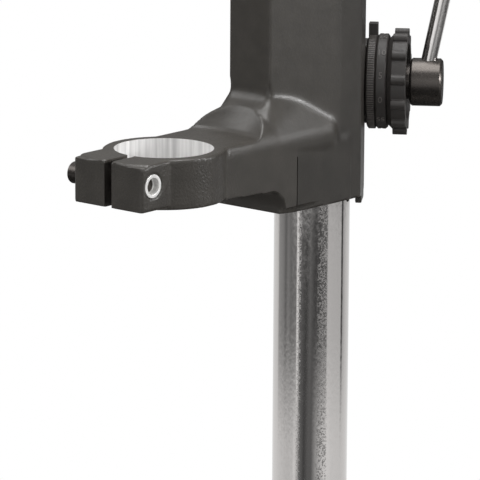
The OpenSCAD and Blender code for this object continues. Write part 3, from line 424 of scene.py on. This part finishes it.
def make_finishes():
    """All finishes of the stand, kept by name in Blender's own list."""
    settings = bpy.context.scene.stand_settings
    # Stove enamel on sand-cast iron: warm, nearly black, with a soft sheen
    painted_iron("enamelled_cast_iron", tuple(settings.paint))
    # The same on the head, with painted shade that darkens it at the back and on the foot
    painted_iron("head_iron_painted_shade", tuple(settings.paint), with_painted_shade=True)
    # Iron from the boring bar: pale and satin, streaked up the bore
    machined("bored_iron", "f7f6f5", 0.35, (1, 1, 0.03), 2.4, metallic=0.35, tone_range=(0.7, 1.12))
    # Iron from the milling cutter: light grey, with marks across the table
    machined("milled_iron", "9d9a96", 0.34, (0.06, 1, 1), 1.2)
    # Iron from the saw: dull and dark, with upright marks
    machined("sawn_iron", "57534f", 0.5, (1, 1, 0.1), 1.4)
    # Ground bar: a mirror with fine upright lines
    ground_steel("ground_bar_steel")
    # Steel from the lathe: bright, with close marks
    machined("turned_steel", "c4c1be", 0.24, (1, 1, 1), 0.5)
    # Zinc on steel: bright and almost white, with long marks
    machined("zinc_plated_steel", "efecea", 0.17, (1, 1, 0.06), 0.9, tone_range=(0.8, 1.08))
    # Satin nickel on steel: a pale and even ring
    machined("nickel_plated_steel", "f4f3f1", 0.38, (1, 1, 1), 0.8, metallic=0.4, tone_range=(0.92, 1.04))
    # Oxide on steel: a dark metal sheen
    machined("black_oxide_steel", "4c4845", 0.3, (1, 1, 1), 0.6, metallic=0.8, tone_range=(0.85, 1.15))
    # Sintered bronze: brown and grainy
    machined("sintered_bronze", "a3763f", 0.42, (1, 1, 1), 0.35)
    # Tempered strip: a blue grey sheen
    machined("tempered_spring_strip", "5d6673", 0.3, (1, 1, 0.2), 0.8)
    # Nylon with glass fibre: matt black
    moulded("black_glass_nylon", tuple(settings.plastic), 0.46, 0.6)
    # The same where fingers wore it: grey ticks and numbers
    moulded("worn_nylon", linear("5a5653"))
    # Acetal: tan, with a soft shine
    moulded("tan_acetal", linear("b9a888"), 0.35, 0.45)
    # Phenolic resin, polished in its mould: deep black and glossy
    moulded("phenolic_ball", linear("191817"), 0.12, 0.18, grain_mm=2.5)
    # Rubber: black and dry
    moulded("black_rubber", linear("211f1e"), 0.7, 0.85, grain_mm=0.5)


# Shaping


def select_only(*objects):
    """Nothing else stays selected, and the last one is active."""
    bpy.ops.object.select_all(action="DESELECT")
    for thing in objects:
        thing.select_set(True)
    bpy.context.view_layer.objects.active = objects[-1]


def use(piece, finish):
    """The piece wears this finish and no other."""
    piece.data.materials.clear()
    piece.data.materials.append(bpy.data.materials[finish])


def settle(piece, matrix=None):
    """Puts the piece's place into its mesh, after an optional move into a part's own frame."""
    bpy.context.view_layer.update()
    if matrix is not None:
        piece.matrix_world = matrix @ piece.matrix_world
    select_only(piece)
    bpy.ops.object.transform_apply(location=True, rotation=True, scale=True)
    return piece


def modify(piece, kind, **settings):
    """Adds a modifier with its settings and applies it."""
    select_only(piece)
    bpy.ops.object.modifier_add(type=kind)
    modifier = piece.modifiers[-1]
    for name, value in settings.items():
        setattr(modifier, name, value)
    bpy.ops.object.modifier_apply(modifier=modifier.name)


def copy_node(node, name):
    """A piece of its own with a CAD node's shape, its doubles merged and its flat faces whole."""
    piece = bpy.data.objects.new(name, frame["nodes"][node].data.copy())
    bpy.context.scene.collection.objects.link(piece)
    select_only(piece)
    bpy.ops.object.mode_set(mode="EDIT")
    bpy.ops.mesh.select_all(action="SELECT")
    bpy.ops.mesh.customdata_custom_splitnormals_clear()
    bpy.ops.mesh.remove_doubles(threshold=0.002 * MM)
    bpy.ops.mesh.dissolve_limited(angle_limit=math.radians(0.5))
    bpy.ops.object.mode_set(mode="OBJECT")
    return piece


def smooth(piece, angle=32):
    """Smooth shading that keeps edges sharper than the angle."""
    select_only(piece)
    bpy.ops.object.shade_smooth_by_angle(angle=math.radians(angle))


def rod(radius, low, high, matrix=None, vertices=96):
    """A solid rod along Z between two places."""
    bpy.ops.object.select_all(action="DESELECT")
    bpy.ops.mesh.primitive_cylinder_add(vertices=vertices, radius=radius, depth=high - low,
                                        location=(0, 0, (low + high) / 2))
    piece = bpy.context.active_object
    piece.name = "rod"
    return settle(piece, matrix)


def block(low, high, matrix=None, name="block"):
    """A solid block between two corners."""
    low, high = Vector(low), Vector(high)
    bpy.ops.object.select_all(action="DESELECT")
    bpy.ops.mesh.primitive_cube_add(size=1, location=(low + high) / 2)
    piece = bpy.context.active_object
    piece.name = name
    piece.scale = high - low
    return settle(piece, matrix)


def combine(piece, tools, operation):
    """Adds the tools to the piece or cuts them out of it, and removes them."""
    for tool in tools:
        modify(piece, "BOOLEAN", operation=operation, solver="MANIFOLD", object=tool,
               material_mode="TRANSFER")
        bpy.data.objects.remove(tool)


def cast(node, name, fills, cuts, softer):
    """A casting with soft edges: holes are filled, the skin is rounded, and the holes are machined again."""
    settings = bpy.context.scene.stand_settings
    piece = copy_node(node, name)
    # The head wears the enamel with painted shade behind its flanks and on its foot
    use(piece, "head_iron_painted_shade")
    combine(piece, fills, "UNION")
    modify(piece, "REMESH", mode="VOXEL", voxel_size=settings.casting_voxel, adaptivity=0)
    modify(piece, "SMOOTH", factor=0.5, iterations=settings.casting_smooth)
    group = piece.vertex_groups.new(name="softer")
    for vertex in piece.data.vertices:
        share = softer(vertex.co)
        if share > 0:
            group.add([vertex.index], min(share, 1), "REPLACE")
    modify(piece, "SMOOTH", factor=0.5, iterations=SOFT_PASSES, vertex_group="softer")
    modify(piece, "DECIMATE", ratio=min(1.0, CASTING_FACES / len(piece.data.polygons)))
    combine(piece, cuts, "DIFFERENCE")
    smooth(piece, 40)
    return piece


def dress(node, name, finish, chamfer=None, segments=2):
    """A turned or moulded part: the CAD shape with broken edges and smooth shading."""
    piece = copy_node(node, name)
    use(piece, finish)
    if chamfer is None:
        chamfer = bpy.context.scene.stand_settings.machined_chamfer
    if chamfer:
        modify(piece, "BEVEL", width=chamfer, segments=segments, limit_method="ANGLE",
               angle_limit=math.radians(35), use_clamp_overlap=True, loop_slide=True)
    smooth(piece)
    # The large faces keep their own normals, so that the broken edges don't bend their reflections
    modify(piece, "WEIGHTED_NORMAL", mode="FACE_AREA", weight=100, keep_sharp=True)
    return piece


def hand_over(piece, body, slot, *nodes):
    """The piece moves with its body and stands for its CAD nodes; its slot is not used."""
    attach(piece, body)
    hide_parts(*nodes)


def along_x(place):
    """The frame of a rod that runs along X through a place."""
    return Matrix.Translation(place) @ Matrix.Rotation(math.pi / 2, 4, "Y")


# The head casting


def root_share(place):
    """How much the arm's root is softened at a place: along its quarter ellipse, and at two sharp spots."""
    away = math.hypot((place.y - NOSE_Y) / (FLANK_OUT.x * HOLLOW_REACH), (place.z - HOLLOW_LOW) / HOLLOW_RISE)
    inside = place.y > NOSE_Y - 3 * MM and place.z > HOLLOW_LOW and abs(place.x) > NOSE_HALF - 1.4 * MM
    # Full within 8 % of the ellipse, and none past 21 %
    band = 1.6 - abs(away - 1) * 7.5 if inside else 0
    # The corner at the nose's top, and the sliver at the hollow's rear end
    corner = (math.copysign(15 * MM, place.x), NOSE_Y - 1 * MM, HOLLOW_LOW + 25 * MM)
    sliver = (math.copysign(21 * MM, place.x), -4 * MM, HOLLOW_LOW + 9.5 * MM)
    reach = 7 * MM
    return max(band, 1.5 - math.dist(place, corner) / reach, 2 - math.dist(place, sliver) / reach)


def flare(side, top):
    """The flare on the right or left side: the hull of a quarter ellipse on the flank and two round ends."""
    out = Vector((FLANK_OUT.x * side, FLANK_OUT.y, 0))
    back = Vector((-FLANK_OUT.y * side, FLANK_OUT.x, 0))
    down = back.cross(out)
    on_flank = Matrix((
        (down.x * HOLLOW_RISE, back.x * HOLLOW_REACH, out.x, NOSE_HALF * side),
        (down.y * HOLLOW_RISE, back.y * HOLLOW_REACH, out.y, NOSE_Y),
        (down.z * HOLLOW_RISE, back.z * HOLLOW_REACH, out.z, HOLLOW_LOW), (0, 0, 0, 1)))
    # A thin plate that this frame draws out to the ellipse. The quarter behind the nose stays
    plate = rod(1, -0.1 * MM, 0.02 * MM, on_flank, vertices=128)
    # Cutters run well past the flare
    width = 30 * MM
    under = COLLAR_TOP - 40 * MM
    combine(plate, [block((-width, NOSE_Y, HOLLOW_LOW), (width, 0, top))], "INTERSECT")
    along_arm = Matrix.Translation((FLARE_X * side, 0, FLARE_Z)) @ Matrix.Rotation(-math.pi / 2, 4, "X")
    ends = [rod(radius, y, y + FLARE_END, along_arm, vertices=128)
            for radius, y in ((FLARE_FRONT_R, NOSE_Y - FLARE_LEAD[side]), (FLARE_REAR_R, FLARE_REAR_Y))]
    select_only(*ends, plate)
    bpy.ops.object.join()
    bpy.ops.object.mode_set(mode="EDIT")
    bpy.ops.mesh.select_all(action="SELECT")
    bpy.ops.mesh.convex_hull()
    bpy.ops.object.mode_set(mode="OBJECT")
    hollow = rod(CLEAR_R, under, top, Matrix.Translation((0, COLLAR.y, 0)))
    fillet = rod(FILLET_R, -width, width, along_x((0, NOSE_Y - FILLET_R, FILLET_Z)))
    combine(plate, [hollow, fillet], "DIFFERENCE")
    return plate


def head_fills(low, high, guide_r):
    """Plugs for the collar's bore, its slot and the column's bore, and the two flares."""
    collar_at = Matrix.Translation((COLLAR.x, COLLAR.y, 0))
    slot_half = SLOT_HALF + FILL_GRIP
    return [
        rod(COLLAR_BORE_R + FILL_GRIP, COLLAR_TOP - COLLAR_H + BORE_INSET, COLLAR_TOP - BORE_INSET,
            collar_at),
        block((-slot_half, COLLAR.y - EAR_REACH, COLLAR_TOP - EAR_DROP + SLOT_INSET),
              (slot_half, COLLAR.y, COLLAR_TOP - EAR_STEP - SLOT_INSET)),
        rod(guide_r + FILL_GRIP, low.z + LUG_DROP + GUIDE_INSET, high.z - GUIDE_INSET),
        flare(1, high.z),
        flare(-1, high.z),
    ]


def head_cuts(low, high, guide_r):
    """What is bored, sawn or drilled in the rounded casting. Each cutter wears the finish that it leaves."""
    collar_at = Matrix.Translation((COLLAR.x, COLLAR.y, 0))
    under, over = COLLAR_TOP - COLLAR_H - OVERRUN, COLLAR_TOP + CUT_ABOVE
    insert_low, insert_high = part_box("collar_screw_insert")
    middle = (insert_low + insert_high) / 2
    screw_at = along_x((0, middle.y, middle.z))
    cuts = [
        (rod(COLLAR_BORE_R, under, over, collar_at, vertices=160), "bored_iron"),
        (block((-SLOT_HALF, low.y - OVERRUN, under), (SLOT_HALF, COLLAR.y, over)), "sawn_iron"),
    ]
    for near, far in ((SEAM_INNER, SEAM_OUTER), (-SEAM_OUTER, -SEAM_INNER)):
        seam = block((near, SEAM_FRONT, low.z - OVERRUN), (far, SEAM_BACK, SEAM_TOP))
        cuts.append((seam, "head_iron_painted_shade"))
    cuts += [
        (rod(guide_r, low.z - OVERRUN, high.z + OVERRUN, vertices=128), "bored_iron"),
        (rod(SCREW_HOLE_R, low.x, high.x, screw_at, vertices=48), "sawn_iron"),
        (rod((insert_high.z - insert_low.z) / 2, insert_low.x, high.x, screw_at, vertices=64), "sawn_iron"),
    ]
    for cutter, finish in cuts:
        use(cutter, finish)
    return [cutter for cutter, finish in cuts]


class STAND_OT_head_casting(bpy.types.Operator):
    """Head casting: column housing, arm and split collar in enamelled iron, bored bright."""

    bl_idname = "stand.head_casting"
    bl_label = "Head casting"

    def execute(self, context):
        low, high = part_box("head_casting")
        guide_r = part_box("upper_guide_bush")[1].x
        fills = head_fills(low, high, guide_r)
        cuts = head_cuts(low, high, guide_r)
        piece = cast("head_casting", "head_casting_skin", fills, cuts, root_share)
        hand_over(piece, "head", "black_paint", "head_casting")
        return {"FINISHED"}


# The other pieces


class STAND_OT_base(bpy.types.Operator):
    """Base plate with its socket, slotted and milled table, and the ground column."""

    bl_idname = "stand.base"
    bl_label = "Base and column"

    def execute(self, context):
        piece = dress("base_plate", "base_plate_skin", "enamelled_cast_iron", 1.2 * MM, 3)
        piece.data.materials.append(bpy.data.materials["milled_iron"])
        for face in piece.data.polygons:
            if face.normal.z > 0.9 and abs(face.center.z - TABLE_TOP) < 0.2 * MM:
                face.material_index = 1
        hand_over(piece, "base", "black_paint", "base_plate")
        column = dress("column", "column_bar", "ground_bar_steel", 0.4 * MM)
        hand_over(column, "base", "ground_steel", "column")
        screw = dress("base_clamp_screw", "base_clamp_screw_black", "black_oxide_steel")
        hand_over(screw, "base_screw", "black_oxide", "base_clamp_screw")
        return {"FINISHED"}


class STAND_OT_height_clamp(bpy.types.Operator):
    """Height clamp: split ring on its plastic bush, with stud, lever and knob."""

    bl_idname = "stand.height_clamp"
    bl_label = "Height clamp"

    def execute(self, context):
        ring = dress("clamp_ring", "clamp_ring_skin", "enamelled_cast_iron", 1.0 * MM, 3)
        hand_over(ring, "clamp_carrier", "black_paint", "clamp_ring")
        use(frame["nodes"]["clamp_bush"], "tan_acetal")
        for node, finish, slot in (("clamp_lever_stud", "turned_steel", "machined_steel"),
                                   ("clamp_lever_rod", "zinc_plated_steel", "bright_steel"),
                                   ("clamp_lever_knob", "phenolic_ball", "black_plastic")):
            hand_over(dress(node, node + "_dressed", finish), "clamp_lever", slot, node)
        return {"FINISHED"}


class STAND_OT_gear_case(bpy.types.Operator):
    """Gear case behind the housing, with its screws, rack pad, adjusting screw and lock nut."""

    bl_idname = "stand.gear_case"
    bl_label = "Gear case"

    def execute(self, context):
        case = dress("gear_case", "gear_case_skin", "enamelled_cast_iron", 0.9 * MM, 3)
        hand_over(case, "head", "black_paint", "gear_case")
        for node, finish, slot in (("gear_case_screws", "black_oxide_steel", "black_oxide"),
                                   ("rack_adjusting_screw", "black_oxide_steel", "black_oxide"),
                                   ("rack_lock_nut", "zinc_plated_steel", "bright_steel"),
                                   ("collar_screw_insert", "nickel_plated_steel", "bright_steel")):
            hand_over(dress(node, node + "_dressed", finish), "head", slot, node)
        screw = dress("collar_clamp_screw", "collar_clamp_screw_black", "black_oxide_steel")
        hand_over(screw, "collar_screw", "black_oxide", "collar_clamp_screw")
        for node, finish in (("rack_pad", "sintered_bronze"), ("upper_guide_bush", "sintered_bronze"),
                             ("lower_guide_bush", "sintered_bronze"), ("right_shaft_bush", "sintered_bronze"),
                             ("left_shaft_bush", "sintered_bronze"), ("rubber_buffer", "black_rubber"),
                             ("rack_bar", "turned_steel"), ("drive_pinion", "turned_steel"),
                             ("pinion_shaft", "black_oxide_steel"), ("pinion_pin", "turned_steel"),
                             ("rack_screws", "black_oxide_steel")):
            use(frame["nodes"][node], finish)
        return {"FINISHED"}


class STAND_OT_return_spring(bpy.types.Operator):
    """Return spring in its cup on the left of the gear case."""

    bl_idname = "stand.return_spring"
    bl_label = "Return spring"

    def execute(self, context):
        cup = dress("spring_cup", "spring_cup_skin", "enamelled_cast_iron", 0.6 * MM, 3)
        hand_over(cup, "head", "black_paint", "spring_cup")
        screws = dress("spring_cup_screws", "spring_cup_screws_black", "black_oxide_steel", 0.2 * MM)
        hand_over(screws, "head", "black_oxide", "spring_cup_screws")
        use(frame["nodes"]["return_spring"], "tempered_spring_strip")
        return {"FINISHED"}


class STAND_OT_dials(bpy.types.Operator):
    """Index ring with raised ticks, scale drum with numbers, and the star nut."""

    bl_idname = "stand.dials"
    bl_label = "Dials"

    def ticks(self, settings, rim, start, stop):
        """Raised ticks round the shaft, from start to stop along it."""
        ticks = []
        for k in range(settings.tick_count):
            turn = SHAFT_FRAME @ Matrix.Rotation(math.tau * k / settings.tick_count, 4, "Z")
            tick = block((rim - TICK_DEPTH, -TICK_HALF, start), (rim + settings.tick_height, TICK_HALF, stop),
                         turn, "tick")
            use(tick, "worn_nylon")
            ticks.append(tick)
        return ticks

    def number(self, settings, k, rim, middle):
        """One plain number that stands out of the rim of the drum."""
        bpy.ops.object.select_all(action="DESELECT")
        bpy.ops.object.text_add()
        number = bpy.context.active_object
        number.data.body = str(NUMBER_STEP * k)
        number.data.size = settings.digit_size * FONT_SHARE
        number.data.extrude = NUMBER_DEPTH
        number.data.align_x = "CENTER"
        number.data.align_y = "CENTER"
        number.data.resolution_u = 3
        bpy.ops.object.convert(target="MESH")
        number = bpy.context.active_object
        # Text X runs along the shaft and text Y round the rim, upwards on the near side
        upright = Matrix(((0, 0, 1, 0), (0, -1, 0, 0), (1, 0, 0, 0), (0, 0, 0, 1)))
        turn = Matrix.Rotation(NUMBER_START - math.tau * k / NUMBER_COUNT, 4, "Z")
        settle(number, SHAFT_FRAME @ turn @ Matrix.Translation((rim, 0, middle)) @ upright)
        use(number, "worn_nylon")
        return number

    def execute(self, context):
        settings = context.scene.stand_settings
        reach = SHAFT_FRAME.inverted()
        ring_span = [(reach @ v.co).z for v in frame["nodes"]["index_ring"].data.vertices]
        drum_span = [(reach @ v.co).z for v in frame["nodes"]["scale_drum"].data.vertices]
        rim = max((reach @ v.co).y for v in frame["nodes"]["scale_drum"].data.vertices)
        ring = dress("index_ring", "index_ring_ticked", "black_glass_nylon", 0.4 * MM, 3)
        ticks = self.ticks(settings, rim, min(ring_span) + TICK_START, max(ring_span) - TICK_STOP)
        select_only(*ticks, ring)
        bpy.ops.object.join()
        hand_over(ring, "index", "black_plastic", "index_ring")
        drum = dress("scale_drum", "scale_drum_numbered", "black_glass_nylon", 0.2 * MM)
        middle = (min(drum_span) + max(drum_span)) / 2
        numbers = [self.number(settings, k, rim, middle) for k in range(NUMBER_COUNT)]
        select_only(*numbers, drum)
        bpy.ops.object.join()
        hand_over(drum, "drum", "black_plastic", "scale_drum")
        star = dress("star_nut", "star_nut_moulded", "black_glass_nylon", 0.5 * MM, 3)
        hand_over(star, "star", "black_plastic", "star_nut")
        return {"FINISHED"}


class STAND_OT_lever(bpy.types.Operator):
    """Feed lever: blackened hub with its screw, bright rod and ball knob."""

    bl_idname = "stand.lever"
    bl_label = "Feed lever"

    def execute(self, context):
        for node, finish, slot, chamfer in (("lever_hub", "black_oxide_steel", "black_oxide", 0.35 * MM),
                                            ("hub_end_screw", "black_oxide_steel", "black_oxide", 0.2 * MM),
                                            ("lever_rod", "zinc_plated_steel", "bright_steel", 0.3 * MM),
                                            ("lever_knob", "phenolic_ball", "black_plastic", 0.3 * MM)):
            hand_over(dress(node, node + "_dressed", finish, chamfer), "feed_lever", slot, node)
        return {"FINISHED"}


class STAND_OT_studio(bpy.types.Operator):
    """Studio: pale floor, soft room with dark and light sides, lamps and the camera."""

    bl_idname = "stand.studio"
    bl_label = "Studio"

    def floor(self):
        """A pale disc under the stand."""
        bpy.ops.object.select_all(action="DESELECT")
        bpy.ops.mesh.primitive_circle_add(vertices=128, radius=FLOOR_R, fill_type="NGON")
        floor = bpy.context.active_object
        floor.name = "pale_floor"
        floor.location.z = -FLOOR_DROP
        material = bpy.data.materials.new("pale_floor")
        material.use_nodes = True
        shader = material.node_tree.nodes["Principled BSDF"]
        rays = add(material, "ShaderNodeLightPath")
        glow = add(material, "ShaderNodeMath", {0: rays.outputs["Is Camera Ray"], 1: FLOOR_GLOW},
                   operation="MULTIPLY")
        finish_material(material, shader, linear("ebebea"), 0.9)
        shader.inputs["Emission Color"].default_value = linear("ffffff")
        links = material.node_tree.links
        links.new(glow.outputs["Value"], shader.inputs["Emission Strength"])
        # Bright steel mirrors the room below the bench, as it does in the photograph
        clear = add(material, "ShaderNodeBsdfTransparent")
        both = add(material, "ShaderNodeMixShader", {
            0: rays.outputs["Is Glossy Ray"], 1: shader.outputs["BSDF"], 2: clear.outputs["BSDF"]})
        links.new(both.outputs["Shader"], material.node_tree.nodes["Material Output"].inputs["Surface"])
        floor.data.materials.append(material)

    def room(self, scene):
        """A room of soft light and dark sides, which the camera sees as plain white."""
        world = bpy.data.worlds.new("soft_room")
        world.use_nodes = True
        scene.world = world
        world.node_tree.nodes.clear()
        way = add(world, "ShaderNodeTexCoord").outputs["Generated"]
        parts = add(world, "ShaderNodeSeparateXYZ", {"Vector": way}).outputs
        bearing = add(world, "ShaderNodeMath", {0: parts["Y"], 1: parts["X"]}, operation="ARCTAN2")
        turned = add(world, "ShaderNodeMath", {0: bearing.outputs["Value"], 1: math.tau - ROOM_START},
                     operation="ADD")
        turns = add(world, "ShaderNodeMath", {0: turned.outputs["Value"], 1: math.tau}, operation="DIVIDE")
        once = add(world, "ShaderNodeMath", {0: turns.outputs["Value"]}, operation="FRACT").outputs["Value"]
        band = add(world, "ShaderNodeValToRGB", {"Fac": once}, stops=BAND_SHADES)
        foot = add(world, "ShaderNodeValToRGB", {"Fac": once}, stops=FOOT_SHADES)
        walls = add(world, "ShaderNodeValToRGB", {"Fac": once}, stops=WALL_SHADES)
        shade = band.outputs["Color"]
        for colour, span, blend in ((foot.outputs["Color"], FOOT_SPAN, "LINEAR"),
                                    (walls.outputs["Color"], WALL_SPAN, "LINEAR"),
                                    ((CEILING_SHADE,) * 3 + (1,), CEILING_SPAN, "SMOOTHSTEP"),
                                    ((GROUND_SHADE,) * 3 + (1,), GROUND_SPAN, "SMOOTHSTEP")):
            there = add(world, "ShaderNodeMapRange", {"Value": parts["Z"], **span}, interpolation_type=blend)
            shade = add(world, "ShaderNodeMix", {0: there.outputs["Result"], 6: shade, 7: colour},
                        data_type="RGBA").outputs[2]
        light = add(world, "ShaderNodeBackground", {"Color": shade, "Strength": 1.0})
        white = add(world, "ShaderNodeBackground", {"Color": (1, 1, 1, 1), "Strength": 1.0})
        rays = add(world, "ShaderNodeLightPath")
        both = add(world, "ShaderNodeMixShader", {
            0: rays.outputs["Is Camera Ray"], 1: light.outputs[0], 2: white.outputs[0]})
        add(world, "ShaderNodeOutputWorld", {"Surface": both.outputs[0]})

    def lamps(self):
        """Soft lamps that all face the head."""
        for name, place, width, height, power in LAMPS:
            bpy.ops.object.select_all(action="DESELECT")
            bpy.ops.object.light_add(type="AREA", location=place)
            lamp = bpy.context.active_object
            lamp.name = "lamp_" + name
            lamp.data.shape = "RECTANGLE"
            lamp.data.size, lamp.data.size_y = width, height
            lamp.data.energy = power
            aim = LAMP_AIM - Vector(place)
            lamp.rotation_euler = aim.to_track_quat("-Z", "Y").to_euler()

    def camera(self, scene):
        """The camera where the photograph was taken."""
        azimuth, elevation, roll = CAMERA_AZIMUTH, CAMERA_ELEVATION, CAMERA_ROLL
        back = Vector((math.sin(azimuth) * math.cos(elevation), -math.cos(azimuth) * math.cos(elevation),
                       math.sin(elevation)))
        level = Vector((math.cos(azimuth), math.sin(azimuth), 0))
        upright = back.cross(level)
        right = math.cos(roll) * level + math.sin(roll) * upright
        up = -math.sin(roll) * level + math.cos(roll) * upright
        place = back * CAMERA_DISTANCE + right * CAMERA_RIGHT + up * CAMERA_UP + Vector((0, 0, COLLAR_TOP))
        bpy.ops.object.camera_add()
        camera = bpy.context.active_object
        camera.name = "photo_camera"
        camera.matrix_world = Matrix((
            (right.x, up.x, back.x, place.x), (right.y, up.y, back.y, place.y),
            (right.z, up.z, back.z, place.z), (0, 0, 0, 1)))
        camera.data.sensor_width = SENSOR_WIDTH
        camera.data.lens = CAMERA_FOCUS / PHOTO_WIDTH * SENSOR_WIDTH
        camera.data.clip_start, camera.data.clip_end = 0.05, 50
        scene.camera = camera

    def execute(self, context):
        self.floor()
        self.room(context.scene)
        self.lamps()
        self.camera(context.scene)
        context.scene.view_settings.view_transform = "Standard"
        return {"FINISHED"}


PIECES = (STAND_OT_head_casting, STAND_OT_base, STAND_OT_height_clamp, STAND_OT_gear_case,
          STAND_OT_return_spring, STAND_OT_dials, STAND_OT_lever, STAND_OT_studio)


class STAND_PT_panel(bpy.types.Panel):
    """Lists the settings and the pieces of the stand in the sidebar."""

    bl_idname = "STAND_PT_panel"
    bl_label = "Drill stand"
    bl_space_type = "VIEW_3D"
    bl_region_type = "UI"
    bl_category = "Drill stand"

    def draw(self, context):
        settings = context.scene.stand_settings
        for name in settings.__annotations__:
            self.layout.prop(settings, name)
        for piece in PIECES:
            self.layout.operator(piece.bl_idname)


CLASSES = (StandSettings,) + PIECES + (STAND_PT_panel,)


def register():
    """Adds the classes and gives each scene its settings."""
    for kind in CLASSES:
        bpy.utils.register_class(kind)
    bpy.types.Scene.stand_settings = bpy.props.PointerProperty(type=StandSettings)


def unregister():
    """Takes the settings and the classes away again."""
    del bpy.types.Scene.stand_settings
    for kind in reversed(CLASSES):
        bpy.utils.unregister_class(kind)


def main():
    """Makes the finishes and every piece."""
    register()
    make_finishes()
    for piece in PIECES:
        group, name = piece.bl_idname.split(".")
        getattr(getattr(bpy.ops, group), name)()


if __name__ == "__main__":
    main()
